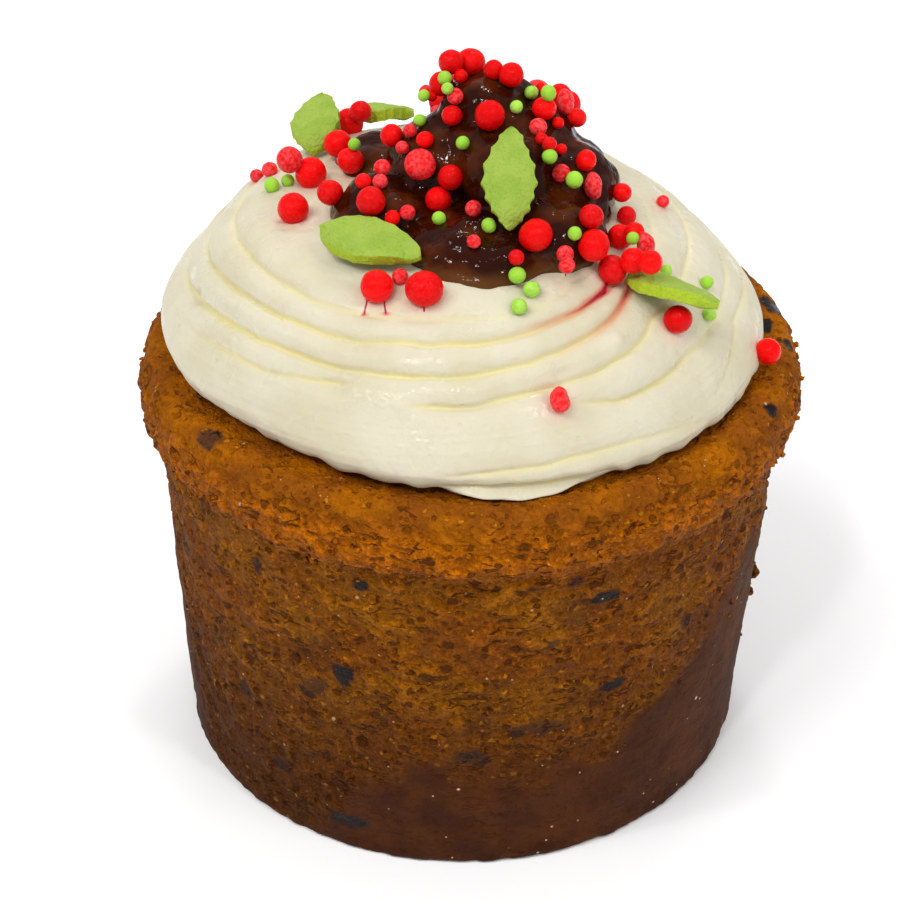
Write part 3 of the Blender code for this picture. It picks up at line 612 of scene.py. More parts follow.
icing = {
    # half profiles from foot to crown, radius and height in mm
    "left": [(33.4, 52.3), (35.6, 53.2), (36.9, 55.6), (36.2, 58.0), (34.2, 60.4), (32.4, 63.0),
             (30.3, 65.6), (27.6, 67.9), (24.0, 69.5), (19.0, 70.4), (11.0, 70.6), (0.0, 70.6)],
    "right": [(33.4, 52.3), (34.4, 52.9), (34.8, 54.6), (33.9, 56.8), (32.6, 58.8), (30.6, 61.0),
              (28.2, 63.6), (25.0, 66.2), (21.4, 68.4), (17.0, 69.8), (10.0, 70.4), (0.0, 70.6)],
    "rows": 210, "steps": 440, "meanRadius": 30,
    "relief": 0.32 * mm, "streaks": 0.06 * mm, "frill": 0.6 * mm, "frillFade": (1.5 * mm, 6 * mm),
    # the drawn-in foot at the left and the tail at the front: direction and spread in degrees, how deep or
    # far, and the distances from the foot between which they end
    "hollowDirection": -130, "hollowSpread": 26, "hollowDepth": 2.2 * mm, "hollowFade": (5 * mm, 14 * mm),
    "tailDirection": -82, "tailSpread": 11, "tailReach": 1.7 * mm, "tailFade": (1.6 * mm, 3.2 * mm),
    # rope creases up the profile: degrees, distance from the foot in mm, strength
    "creases": [
        [(-180, 20.4, 0.5), (-169, 21.0, 0.6), (-154, 21.7, 0.7), (-142, 22.0, 0.7), (-126, 22.2, 0.6),
         (-108, 22.7, 0.35), (-96, 23.4, 0.35), (-83, 23.6, 0.35), (-72, 24.3, 0.35), (-61, 25.8, 0.2),
         (-45, 27.5, 0)],
        [(-180, 15.5, 0.8), (-172, 16.2, 0.9), (-159, 17.5, 1), (-148, 18.2, 1), (-135, 18.9, 1),
         (-119, 19.2, 1), (-106, 20.1, 1), (-92, 20.6, 1), (-78, 21.6, 1), (-68, 22.3, 1), (-60, 23.0, 1),
         (-52, 23.8, 1), (-40, 24.8, 0.7), (-20, 26.5, 0.3), (0, 28, 0)],
        [(-180, 11.0, 0.5), (-167, 12.4, 0.9), (-157, 13.8, 1), (-147, 14.7, 1), (-137, 15.3, 1),
         (-124, 15.8, 1), (-110, 16.2, 1), (-98, 16.9, 1), (-90, 17.3, 1), (-81, 18.0, 1), (-72, 18.8, 1),
         (-60, 20.0, 1), (-53, 20.8, 1), (-43, 22.6, 0.9), (-25, 24, 0.5), (0, 26, 0.3), (25, 27.5, 0)],
        [(-166, 9.3, 0), (-151, 11.2, 0.4), (-143, 11.8, 0.6), (-135, 12.4, 0.6), (-126, 13.4, 0.7),
         (-119, 14.2, 0.9), (-113, 14.8, 0)],
        [(-104, 13.4, 0), (-98, 13.6, 0.9), (-91, 13.8, 0.9), (-84, 14.5, 0.9), (-76, 15.3, 0.8),
         (-69, 15.6, 0.8), (-60, 16.2, 0.9), (-53, 16.9, 0.9), (-47, 17.8, 0.8), (-42, 18.9, 0.7),
         (-20, 20, 0.5), (30, 20.4, 0.6), (100, 20.5, 0.6), (180, 20.4, 0.5)],
        [(-72, 13.6, 0), (-65, 12.8, 0.6), (-60, 12.2, 0.9), (-52, 12.4, 0.9), (-47, 12.8, 0.8),
         (-39, 13.6, 0.6), (-20, 14.4, 0.4), (30, 15, 0.6), (100, 15.5, 0.8), (180, 15.5, 0.8)],
        [(-38, 7, 0), (-32, 8.3, 0.4), (-24, 10.3, 0.5), (-18, 12.0, 0.4), (0, 11, 0.4), (60, 10.5, 0.6),
         (120, 10.8, 0.6), (180, 11.0, 0.5)],
        [(-97, 5.2, 0), (-91, 5.6, 0.5), (-81, 6.3, 0.6), (-72, 6.8, 0.6), (-64, 7.0, 0.5), (-57, 6.7, 0.4),
         (-49, 6.0, 0.3), (-40, 5.2, 0)],
        [(-100, 2.4, 0), (-94, 2.9, 0.7), (-84, 3.3, 1), (-74, 3.2, 1), (-67, 2.8, 0.6), (-62, 2.4, 0)],
    ],
    "hollow": 0.62 * mm, "hollowWidth": 1.35 * mm, "crease": 0.5 * mm, "creaseWidth": 0.36 * mm,
    # how far the rope has climbed at each direction, mm
    "climb": [(-180, 0), (-60, 7.5), (180, 11.8)],
    # dents and bumps: direction, distance, depth and half width in mm
    "dents": [(-167, 12.4, 0.8, 1.3), (-70.8, 16.9, 0.45, 1.2), (-55.6, 18.4, -0.5, 1.2),
              (-117, 13.6, 0.35, 1.0)],
    # red dye runs along the second and third crease: direction, strength
    "dye": {1: [(-88, 0), (-76, 0.10), (-66, 0.2), (-58, 0.35), (-46, 0.35), (-36, 0)],
            2: [(-76, 0), (-62, 0.14), (-53, 0.28), (-46, 0.35), (-40, 0.3), (-34, 0)]},
    # dye that ran from the pearls, as seen from sightPoint: across, up, half width in mm and strength at
    # each point, thin dark lines first
    "lines": [[(-13.2, 18.9, 0.17, 1), (-13.3, 18.2, 0.17, 1), (-13.55, 17.0, 0.2, 1)],
              [(-11.05, 18.7, 0.15, 1), (-11.05, 18.1, 0.15, 1), (-10.9, 17.1, 0.17, 1)],
              [(-6.15, 18.1, 0.17, 1), (-6.12, 17.3, 0.15, 1)],
              [(11.5, 22.7, 0.18, 1), (11.6, 21.7, 0.12, 1)],
              [(16.8, 20.9, 0.3, 1), (16.6, 20.4, 0.38, 1), (16.3, 19.7, 0.52, 1),
               (15.5, 19.15, 0.36, 0.95), (14.5, 18.3, 0.3, 0.8), (13.3, 17.5, 0.26, 0.55),
               (12.4, 17.1, 0.24, 0.3), (11.2, 16.6, 0.24, 0)],
              [(19.4, 20.8, 0.4, 0.9), (19.3, 19.8, 0.34, 0.6), (18.8, 18.6, 0.3, 0.35),
               (18.0, 17.3, 0.28, 0)]],
    "stains": [[(-14.1, 16.85, 0.3, 0), (-13.7, 16.85, 0.34, 0.8), (-13.2, 16.83, 0.3, 0.3)],
               [(-11.5, 17.0, 0.26, 0.2), (-10.9, 17.0, 0.34, 0.85), (-10.1, 16.95, 0.28, 0.1)],
               [(-22.3, 28.3, 0.4, 0.5), (-23.6, 28.4, 0.45, 0.4), (-25.0, 28.6, 0.4, 0)],
               [(16.8, 20.9, 0.8, 0.7), (16.3, 19.7, 1.0, 0.75), (15.2, 18.9, 0.8, 0.6),
                (13.3, 17.5, 0.7, 0.42), (10.8, 16.4, 0.7, 0.24), (8.4, 15.6, 0.7, 0.14),
                (6.0, 14.9, 0.7, 0)],
               [(19.4, 20.8, 0.9, 0.65), (19.3, 19.8, 0.85, 0.65), (18.6, 18.3, 0.8, 0.55),
                (17.9, 17.2, 0.75, 0.42), (17.0, 16.0, 0.75, 0.26), (15.8, 15.0, 0.75, 0.14),
                (14.2, 14.3, 0.75, 0)]],
    "dyeWidth": 0.6 * mm, "halo": 0.30, "haloReach": 0.6 * mm, "bump": 0.16 * mm,
    "tints": {
        # crease is the yellow painted shade in the creases
        "cream": (0.584, 0.535, 0.381), "paleCream": (0.629, 0.586, 0.449), "crease": (0.80, 0.70, 0.27),
        "halo": (0.78, 0.22, 0.24), "dye": (0.50, 0.008, 0.035),
        "stain": (0.62, 0.060, 0.050), "line": (0.36, 0.004, 0.035),
    },
}


def creaseAt(direction, distance):
    # how far the creases cut in, how near the thin lines of painted shade along them are, and how much dye
    # has run along them
    cut, line, dye = 0, 0, 0
    for index, table in enumerate(icing["creases"]):
        if not table[0][0] <= direction <= table[-1][0]:
            continue
        off = distance - between(direction, [(turn, place) for turn, place, _ in table]) * mm
        if abs(off) > 4 * mm:
            continue
        strength = between(direction, [(turn, value) for turn, _, value in table])
        near = math.exp(-(off / icing["creaseWidth"]) ** 2)
        wide = math.exp(-(off / icing["hollowWidth"]) ** 2)
        cut += strength * (icing["hollow"] * wide + icing["crease"] * near)
        line = max(line, strength * near)
        run = icing["dye"].get(index)
        if run and run[0][0] <= direction <= run[-1][0]:
            dye = max(dye, between(direction, run) * math.exp(-(off / icing["dyeWidth"]) ** 2))
    return cut, line, dye


def dentAt(direction, distance):
    # the directions are turned into mm at the ropes' mean radius
    depth = 0
    for turn, place, deep, wide in icing["dents"]:
        across = math.radians(direction - turn) * icing["meanRadius"]
        depth += deep * mm * math.exp(-(across ** 2 + (distance / mm - place) ** 2) / wide ** 2)
    return depth


def streakAt(direction, distance):
    # fine drag lines that climb along the rope, joined where the turn starts again
    turn = math.radians(direction)
    climb = between(direction, icing["climb"]) * mm
    lines = [noise.noise(ringPoint(turn, 2.4, (distance - climb + skip) / (0.65 * mm)))
             for skip in (0, icing["climb"][-1][1] * mm)]
    share = fade(direction, 150, 180)
    return lines[0] * (1 - share) + lines[1] * share


def makeIcingMaterial(lines, stains):
    tints = icing["tints"]
    made, tree, shader, coords = newMaterial("icingCream")
    marks = readMarks(tree, "cream")
    crease, dye, halo = marks["Red"], marks["Green"], marks["Blue"]
    cloud = patchy(tree, coords, 9 * mm, low=0.35, high=0.65)
    colour = mixColour(tree, cloud, tints["cream"], tints["paleCream"])
    # painted shade: the thin crease lines are tinted yellow as their shade looks
    colour = mixColour(tree, times(tree, crease, 0.85), colour, tints["crease"])
    colour = mixColour(tree, halo, colour, tints["halo"])
    colour = mixColour(tree, dye, colour, tints["dye"])
    for runs, tint in ((stains, tints["stain"]), (lines, tints["line"])):
        mask = 0.0
        for start, end in runs:
            found = useGroup(tree, stroke, Vector=coords, From=start[0], To=end[0], Width=start[1],
                             EndWidth=end[1], Strength=start[2], EndStrength=end[2])
            mask = larger(tree, mask, found)
        colour = mixColour(tree, mask, colour, tint)
    wet = patchy(tree, coords, 5 * mm, low=0.50, high=0.66, detail=2.0)
    setShader(shader, Base_Color=colour, Roughness=minus(tree, 0.52, times(tree, wet, 0.34)),
              Subsurface_Weight=0.2, Subsurface_Scale=2.0 * mm, Subsurface_Radius=(1.0, 0.75, 0.45),
              Specular_IOR_Level=0.35)
    fine = patchy(tree, coords, 1.6 * mm, low=0.3, high=0.7, detail=4.0)
    bubbles = spotted(tree, coords, 1.6 * mm, 0.13, 0.22)
    setBump(shader, minus(tree, fine, times(tree, bubbles, 0.8)), icing["bump"], 0.5)
    return made


def makeIcing():
    left = [(r * mm, z * mm) for r, z in smoothPath(icing["left"], icing["rows"])]
    right = [(r * mm, z * mm) for r, z in smoothPath(icing["right"], icing["rows"])]
    foot = left[0]
    form = turnProfile(left[::-1] + [(foot[0] * 0.6, foot[1]), (0, foot[1])], icing["steps"])
    distances = [0]
    for (r0, z0), (r1, z1) in zip(left, left[1:]):
        distances.append(distances[-1] + math.hypot(r1 - r0, z1 - z0))
    rowOf = {(round(r / mm, 3), round(z / mm, 3)): i for i, (r, z) in enumerate(left)}
    marks = []
    for vertex in form.verts:
        point = vertex.co.copy()
        radius = math.hypot(point.x, point.y)
        row = rowOf.get((round(radius / mm, 3), round(point.z / mm, 3)))
        if row is None:
            row = min(range(icing["rows"]),
                      key=lambda i: abs(left[i][0] - radius) + abs(left[i][1] - point.z))
        if point.z < foot[1] + 0.05 * mm and radius < foot[0] - 0.1 * mm:
            marks.append((0, 0, 0, 1))
            continue
        direction = math.degrees(math.atan2(point.y, point.x))
        distance = distances[row]
        toRight = 0.5 + 0.5 * math.cos(math.radians(direction))
        low = 1 - fade(distance, *icing["hollowFade"])
        turned = (direction - icing["hollowDirection"]) / icing["hollowSpread"]
        hollow = icing["hollowDepth"] * low * math.exp(-turned ** 2)
        turned = (direction - icing["tailDirection"]) / icing["tailSpread"]
        tail = icing["tailReach"] * (1 - fade(distance, *icing["tailFade"])) * math.exp(-turned ** 4)
        before, after = max(row - 2, 0), min(row + 2, icing["rows"] - 1)
        along = Vector((left[after][0] - left[before][0], left[after][1] - left[before][1])).normalized()
        outward = Vector((along.y, -along.x))
        cut, line, dye = creaseAt(direction, distance + 0.25 * mm * rough(point, 3 * mm, 23))
        push = -cut * (1 + 0.25 * rough(point, 7 * mm, 13)) - dentAt(direction, distance)
        push += icing["relief"] * rough(point, 11 * mm, 3) * fade(distance, 0, 4 * mm)
        push += icing["streaks"] * streakAt(direction, distance) * fade(distance, 1 * mm, 5 * mm)
        frill = rough(Vector((point.x, point.y, 0)), 2.8 * mm, 17) * (1 - fade(distance, *icing["frillFade"]))
        push += icing["frill"] * frill
        newRadius = left[row][0] * (1 - toRight) + right[row][0] * toRight + outward.x * push - hollow + tail
        newHeight = left[row][1] * (1 - toRight) + right[row][1] * toRight + outward.y * push
        if row == icing["rows"] - 1:
            newRadius = 0
        if row == 0:
            newHeight = foot[1]
        turn = math.atan2(point.y, point.x)
        vertex.co = ringPoint(turn, newRadius, newHeight)
        # red holds the painted shade along the crease lines, green the dye
        marks.append((line * (0.75 + 0.4 * rough(point, 6 * mm, 19)), dye, 0, 1))
    paint(form, "cream", marks)
    surface = BVHTree.FromBMesh(form)
    cream = makeIcingMaterial(dyeRuns(surface, "lines"), dyeRuns(surface, "stains"))
    return makePiece("icingSwirl", form, cream, ["icing"])


def dyeRuns(surface, kind):
    # pairs of neighbouring points that dye ran between, each as place, half width and strength
    runs = []
    for points in icing[kind]:
        placed = [(surface.ray_cast(pearl["sightPoint"], sightWay(across, up))[0], wide * mm, strength)
                  for across, up, wide, strength in points]
        runs += [pair for pair in zip(placed, placed[1:]) if pair[0][0] and pair[1][0]]
    print("dye runs", kind, len(runs))
    return runs


def stainIcing(swirl, placed):
    # red pearls leave a faint pink ring where they sit
    reds = [item for item in placed if item[3] != "green"]
    tree = KDTree(len(reds))
    for i, item in enumerate(reds):
        tree.insert(item[0], i)
    tree.balance()
    colours = swirl.data.attributes["cream"].data
    for vertex, mark in zip(swirl.data.vertices, colours):
        _, index, away = tree.find(vertex.co)
        gap = max(away - reds[index][1], 0)
        if gap < 2.5 * mm:
            red, green, _, _ = mark.color
            mark.color = (red, green, icing["halo"] * math.exp(-gap / icing["haloReach"]), 1)


sauce = {
    # lumps melted together: centre x, y, z and half widths, mm
    "lumps": [(3.5, 2, 74, 9.5, 9, 8.5), (2.2, 3, 79.5, 5.8, 6, 5), (11, -1, 72, 5.8, 7, 5.6),
              (0.5, -12, 69.6, 8.8, 8, 4.3), (8.8, -9.8, 70.6, 6, 7, 5.0), (-10, -5.5, 70.8, 6.3, 6.2, 4.4),
              (-3.2, 1.5, 73.2, 6.6, 7.5, 6.6), (-10, 9.6, 69.8, 6.2, 6.8, 3.1),
              (3, 9, 71.5, 9.5, 7, 6.5), (4.5, -3.9, 75.5, 6.5, 6.5, 5.6)],
    "voxel": 0.42 * mm, "softening": 26, "fruit": 1.1 * mm, "fruitSize": 4.6 * mm, "relief": 0.45 * mm,
    "fineRelief": 0.07 * mm, "floor": 66.5 * mm, "bump": 0.12 * mm,
    # how thick the sauce is over the icing where it starts and ends to look thin
    "thinFade": (0.2 * mm, 1.6 * mm),
    "tints": {"deep": (0.022, 0.0030, 0.0007), "bright": (0.066, 0.0125, 0.0020),
              "thin": (0.115, 0.044, 0.010)},
}


def makeSauceMaterial():
    tints = sauce["tints"]
    made, tree, shader, coords = newMaterial("wetSauce")
    cloud = patchy(tree, coords, 4 * mm, low=0.42, high=0.68)
    colour = mixColour(tree, cloud, tints["deep"], tints["bright"])
    colour = mixColour(tree, readMarks(tree, "edge")["Red"], colour, tints["thin"])
    setShader(shader, Base_Color=colour, Roughness=0.05, Specular_IOR_Level=0.14)
    setBump(shader, patchy(tree, coords, 1.2 * mm, low=0.3, high=0.7, detail=2.0), sauce["bump"], 0.5)
    return made


def makeSauce(icingTree):
    form = bmesh.new()
    for x, y, z, wide, deep, high in sauce["lumps"]:
        size = Matrix.Diagonal((wide * mm, deep * mm, high * mm, 1))
        place = Matrix.Translation(Vector((x, y, z)) * mm)
        bmesh.ops.create_icosphere(form, subdivisions=4, radius=1, matrix=place @ size)
    melted = addObject("sauceLumps", meshOf("sauceLumps", form))
    remesh = melted.modifiers.new("melt", "REMESH")
    remesh.mode = "VOXEL"
    remesh.voxel_size = sauce["voxel"]
    soften = melted.modifiers.new("soften", "SMOOTH")
    soften.iterations = sauce["softening"]
    bpy.context.view_layer.update()
    form = bmesh.new()
    form.from_object(melted, bpy.context.evaluated_depsgraph_get())
    bpy.data.objects.remove(melted)
    form.normal_update()
    moves = []
    for vertex in form.verts:
        point = vertex.co
        nearest = noise.voronoi(point / sauce["fruitSize"])[0][0]
        move = sauce["fruit"] * (0.35 - min(nearest, 1) ** 2) + sauce["relief"] * rough(point, 2.8 * mm, 9)
        moves.append(vertex.normal * (move + sauce["fineRelief"] * rough(point, 0.9 * mm, 12)))
    for vertex, move in zip(form.verts, moves):
        vertex.co += move
    geometry = form.verts[:] + form.edges[:] + form.faces[:]
    cut = bmesh.ops.bisect_plane(form, geom=geometry, plane_co=(0, 0, sauce["floor"]), plane_no=(0, 0, 1),
                                 clear_inner=True)
    rim = [edge for edge in cut["geom_cut"] if isinstance(edge, bmesh.types.BMEdge)]
    bmesh.ops.contextual_create(form, geom=rim)
    bmesh.ops.recalc_face_normals(form, faces=form.faces[:])
    marks = []
    for vertex in form.verts:
        place, normal, _, away = icingTree.find_nearest(vertex.co)
        thin = 1 - fade(away, *sauce["thinFade"]) if (vertex.co - place).dot(normal) > 0 else 1
        marks.append((thin * 0.8, 0, 0, 1))
    paint(form, "edge", marks)
    return makePiece("sauceHeap", form, makeSauceMaterial(), ["fruit_sauce"])


leaf = {
    "thickness": 1.7 * mm, "wave": 0.35 * mm, "lengthSteps": 72, "widthSteps": 26, "edgeRound": 0.42 * mm,
    # length, width, centre, lengthwise direction and facing
    "leaves": {
        "leaf_1": (10.8, 6.2, (-18.6, 15.0, 72.6), (0.12, 0.96, 0.24), (-0.1, -0.25, 0.96)),
        "leaf_2": (6.8, 6.4, (-10.4, 23.5, 69.9), (1.0, 0.05, 0.0), (-0.05, 0.24, 0.97)),
        "leaf_3": (11.5, 6.3, (4.1, -11.6, 78.7), (0.03, 0.62, 0.79), (0.0, -0.79, 0.62)),
        "leaf_4": (12.3, 6.4, (-11.3, -15.0, 72.6), (11.6, -4.8, -1.8), (-0.1, -0.3, 0.95)),
        "leaf_5": (10.7, 6.4, (22.1, -16.9, 67.7), (10.5, -3.8, -0.6), (0.2, 0.2, 0.96)),
    },
    # points along each side, share of the length and of half the width, with hollows between them
    "upperTips": [(0, 0.22), (0.08, 0.34), (0.18, 0.60), (0.30, 0.82), (0.44, 0.96), (0.63, 0.90),
                  (0.79, 0.66), (0.91, 0.42), (1, 0.22)],
    "lowerTips": [(0, 0.22), (0.10, 0.46), (0.20, 0.70), (0.32, 0.80), (0.45, 0.90), (0.62, 0.80),
                  (0.76, 0.58), (0.91, 0.40), (1, 0.22)],
    "scallop": {"leaf_1": 0.055, "leaf_2": 0.06, "leaf_3": 0.09, "leaf_4": 0.02, "leaf_5": 0.03},
    "bump": 0.16 * mm,
    "tints": {"face": (0.255, 0.385, 0.048), "paleFace": (0.310, 0.430, 0.064), "rim": (0.37, 0.50, 0.026),
              "speck": (0.20, 0.32, 0.04)},
}


def leafHalfWidth(share, tips, scallop):
    # half the width at a share of the length, its two ends rounded off
    ends = math.sqrt(fade(min(share, 1 - share), -0.004, 0.045))
    for (x0, y0), (x1, y1) in zip(tips, tips[1:]):
        if share <= x1:
            t = (share - x0) / (x1 - x0)
            half = y0 + (y1 - y0) * t - scallop * math.sin(math.pi * t)
            return ends * (half + 0.07 * math.sin(math.pi * share))
    return 0


def makeLeafMaterial():
    tints = leaf["tints"]
    made, tree, shader, coords = newMaterial("sugarLeaf")
    cloud = patchy(tree, coords, 2.2 * mm, low=0.35, high=0.65)
    colour = mixColour(tree, cloud, tints["face"], tints["paleFace"])
    colour = mixColour(tree, readMarks(tree, "rim")["Red"], colour, tints["rim"])
    specks = spotted(tree, coords, 0.55 * mm, 0.26, 0.5)
    colour = mixColour(tree, times(tree, specks, 0.5), colour, tints["speck"])
    setShader(shader, Base_Color=colour, Roughness=0.6, Specular_IOR_Level=0.15)
    setBump(shader, patchy(tree, coords, 0.45 * mm, low=0.3, high=0.7), leaf["bump"], 0.7)
    return made


def makeLeaf(name, material):
    length, width, centre, along, facing = leaf["leaves"][name]
    form = bmesh.new()
    bmesh.ops.create_grid(form, x_segments=leaf["lengthSteps"], y_segments=leaf["widthSteps"], size=1)
    seed = len(name) + centre[0]
    halfDepth = form.verts.layers.float.new("halfDepth")
    for vertex in form.verts:
        share, side = (vertex.co.x + 1) / 2, vertex.co.y
        tips = leaf["upperTips"] if side > 0 else leaf["lowerTips"]
        half = width / 2 * mm * leafHalfWidth(share, tips, leaf["scallop"][name])
        curl = leaf["wave"] * math.sin(5 * share + 1.3 * side)
        vertex.co = ((share - 0.5) * length * mm, half * side, curl)
        thin = (0.4 + 0.6 * fade(min(share, 1 - share), 0, 0.2)) * (1 - 0.22 * side ** 4)
        vertex[halfDepth] = leaf["thickness"] / 2 * thin
        vertex.co.z += 0.05 * mm * rough(vertex.co, 0.9 * mm, seed)
    bmesh.ops.recalc_face_normals(form, faces=form.faces[:])
    top = form.faces[:]
    raised = bmesh.ops.extrude_face_region(form, geom=top)
    upper = {item for item in raised["geom"] if isinstance(item, bmesh.types.BMVert)}
    for vertex in form.verts:
        vertex.co.z += vertex[halfDepth] if vertex in upper else -vertex[halfDepth]
    bmesh.ops.recalc_face_normals(form, faces=form.faces[:])
    form.normal_update()
    corners = [edge for edge in form.edges if len(edge.link_faces) == 2 and edge.calc_face_angle() > 1.0]
    bmesh.ops.bevel(form, geom=corners, offset=leaf["edgeRound"], segments=3, affect="EDGES", profile=0.5,
                    material=-1, clamp_overlap=True)
    form.normal_update()
    marks = [(1 - fade(abs(vertex.normal.z), 0.2, 0.9), 0, 0, 1) for vertex in form.verts]
    paint(form, "rim", marks)
    up = Vector(facing).normalized()
    lengthwise = Vector(along)
    lengthwise = (lengthwise - up * lengthwise.dot(up)).normalized()
    axes = Matrix((lengthwise, up.cross(lengthwise), up)).transposed()
    place = Matrix.Translation(Vector(centre) * mm)
    bmesh.ops.transform(form, verts=form.verts[:], matrix=place @ axes.to_4x4())
    return makePiece("sugarLeaf" + name[-1], form, material, [name])


pearl = {
    # each pearl as it shows from sightPoint: across, up and diameter in mm on a plane facing that point
    "sightPoint": Vector((0, -232.1, 191.6)) * mm,
    "sightCentre": Vector((0, 0, 35)) * mm,
    "largeRed": [(-0.5, 48.8, 3.5), (-2.6, 48.4, 3.0), (-5.0, 46.4, 2.9), (2.7, 47.4, 2.3),
                 (4.9, 46.8, 2.8), (2.2, 41.7, 3.4), (-2.5, 41.7, 2.4), (9.0, 42.6, 2.8), (11.7, 43.3, 2.6),
                 (13.5, 41.6, 2.3), (8.2, 40.3, 2.1), (14.2, 36.1, 2.4), (11.1, 34.5, 2.1),
                 (15.1, 32.9, 2.6), (18.7, 32.1, 2.3), (14.8, 29.1, 2.8), (19.3, 29.2, 2.3),
                 (7.1, 27.6, 3.7), (15.1, 25.5, 3.5), (18.3, 26.6, 3.0), (20.2, 27.2, 2.3),
                 (21.6, 25.5, 2.6), (17.7, 22.4, 3.3), (20.0, 23.6, 2.9), (22.1, 23.4, 2.7),
                 (-6.5, 35.6, 3.7), (-2.7, 34.0, 3.0), (-4.2, 31.2, 3.0), (-12.7, 31.0, 3.3),
                 (-14.2, 41.0, 3.6), (-13.7, 42.2, 2.7), (-17.3, 37.8, 3.4), (-15.1, 35.8, 3.2),
                 (-20.0, 34.5, 3.8), (-22.7, 36.2, 3.2), (-17.7, 32.1, 3.1), (-22.3, 30.1, 3.6),
                 (-10.0, 39.2, 2.7), (-12.0, 20.4, 3.8), (-6.1, 20.1, 4.1), (25.6, 16.3, 3.3),
                 (37.0, 12.3, 3.2)],
    "smallRed": [(-25.1, 35.0, 1.9), (-26.7, 34.2, 1.7), (-1.4, 46.6, 1.7), (-2.1, 44.1, 1.9),
                 (-5.0, 44.1, 1.2), (-7.7, 39.8, 1.6), (-8.7, 37.7, 1.6), (-5.9, 38.7, 2.0),
                 (-11.2, 35.2, 2.0), (-13.6, 33.5, 1.9), (-11.5, 33.5, 1.8), (-10.0, 28.9, 1.8),
                 (-8.1, 29.6, 1.8), (0.1, 30.1, 1.9), (0.1, 26.0, 1.6), (5.4, 24.0, 1.8), (11.5, 24.4, 2.0),
                 (11.7, 23.0, 1.8), (-9.1, 21.6, 1.8), (8.6, 45.2, 1.3), (10.7, 40.8, 1.4),
                 (8.6, 38.8, 1.4), (9.6, 38.1, 1.7), (11.1, 37.5, 1.3), (23.9, 31.0, 1.5),
                 (10.8, 6.2, 2.6)],
    "longRadius": 1.3 * mm,
    "green": [(-3.4, 46.4, 1.6), (-3.1, 45.1, 1.4), (-6.0, 44.2, 1.4), (-6.5, 41.1, 1.5), (-1.2, 38.3, 1.6),
              (5.5, 42.8, 1.5), (7.4, 44.6, 1.6), (9.5, 44.5, 1.8), (9.6, 36.6, 1.7), (12.7, 33.7, 2.0),
              (-14.6, 38.1, 1.5), (-24.9, 33.0, 1.9), (-22.9, 33.6, 1.6), (-4.2, 28.9, 1.6), (2.0, 28.0, 1.7),
              (12.7, 27.0, 1.6), (20.0, 26.4, 1.5), (5.5, 21.8, 1.9), (7.2, 20.1, 1.9), (5.7, 17.9, 1.8),
              (24.2, 22.4, 1.4), (29.3, 20.9, 1.6), (29.6, 16.9, 1.6)],
    "sink": 0.35, "pileCloseness": 0.88, "gap": 0.3 * mm, "furthestMove": 2.5 * mm, "tries": 60,
    # how far from sightPoint a pearl's seat is looked for, in metres
    "searched": (0.14, 0.34),
    # pearls dropped on the back: directions, distances from the axis and radii in mm
    "backPearls": 18, "backSeed": 11, "backTurns": (35, 150), "backReach": (9, 20), 
    "backShift": Vector((2, 0, 0)) * mm,
    "backRadii": (1.7, 1.5, 0.9, 0.9, 0.8), "backDrop": 250 * mm, "largeFrom": 1.2 * mm,
    "knobs": 0.035, "longKnobs": 0.16, "longShape": (0.80, 0.9, 1.22), "longLean": -0.25, "bump": 0.12 * mm,
    # deep, bright and pale colour
    "tints": {"redPearl": ((0.40, 0.001, 0.003), (0.86, 0.003, 0.002), (0.86, 0.10, 0.11)),
              "greenPearl": ((0.22, 0.47, 0.035), (0.33, 0.63, 0.055), (0.42, 0.70, 0.12))},
}
carrierNodes = {"cookie": "cookie_base", "icing": "icing", "sauce": "fruit_sauce"}


def distanceTo(tree, point, thin=False):
    # distance to a surface, negative inside one that isn't thin, and the way straight off it
    place, normal, _, distance = tree.find_nearest(point)
    outside = thin or (point - place).dot(normal) > -0.5 * distance
    away = (point - place).normalized() if outside else (place - point).normalized()
    return (distance if outside else -distance), away


def roomAt(point, radius, carriers, placed):
    gaps = [distanceTo(tree, point)[0] - radius * (1 - pearl["sink"]) for tree in carriers.values()]
    gaps += [(point - other).length - (radius + size) * pearl["pileCloseness"]
             for other, size, _, _ in placed]
    return min(gaps)


def firstContact(start, way, radius, carriers, placed):
    travelled, end = pearl["searched"]
    best = (1, None)
    while travelled < end:
        point = start + way * travelled
        room = roomAt(point, radius, carriers, placed)
        if room < best[0]:
            best = (room, point)
        if room < 0.02 * mm:
            return point
        travelled += max(room, 0.05 * mm)
    return best[1]


def ownerOf(point, radius, carriers, placed):
    seats = {name: distanceTo(tree, point)[0] for name, tree in carriers.items()}
    nearest = min(seats, key=seats.get)
    if seats[nearest] < radius:
        return nearest
    touching = [(point - other).length - size for other, size, _, _ in placed]
    if touching and min(touching) < radius:
        return placed[touching.index(min(touching))][2]
    return nearest


def crowding(point, radius, owner, carriers, leafTrees, placed):
    push = Vector()
    others = [distanceTo(tree, point) for name, tree in carriers.items() if name != owner]
    others += [distanceTo(tree, point, thin=True) for tree in leafTrees]
    for distance, away in others:
        push += away * max(radius + pearl["gap"] - distance, 0)
    for other, size, otherOwner, _ in placed:
        off = point - other
        if otherOwner != owner:
            push += off.normalized() * max(radius + size + pearl["gap"] - off.length, 0)
    return push


def isHeld(point, radius, owner, carriers, placed):
    if distanceTo(carriers[owner], point)[0] < radius * 0.75:
        return True
    reach = pearl["pileCloseness"] + 0.01
    return any(own == owner and (point - other).length < (radius + size) * reach
               for other, size, own, _ in placed)


def settle(point, radius, owner, carriers, leafTrees, placed):
    for _ in range(pearl["tries"]):
        push = crowding(point, radius, owner, carriers, leafTrees, placed)
        if push.length == 0 and isHeld(point, radius, owner, carriers, placed):
            return point
        point = point + push * 1.05
        if not isHeld(point, radius, owner, carriers, placed):
            distance, away = distanceTo(carriers[owner], point)
            point = point - away * min(distance - radius * 0.7, pearl["gap"])
    return None


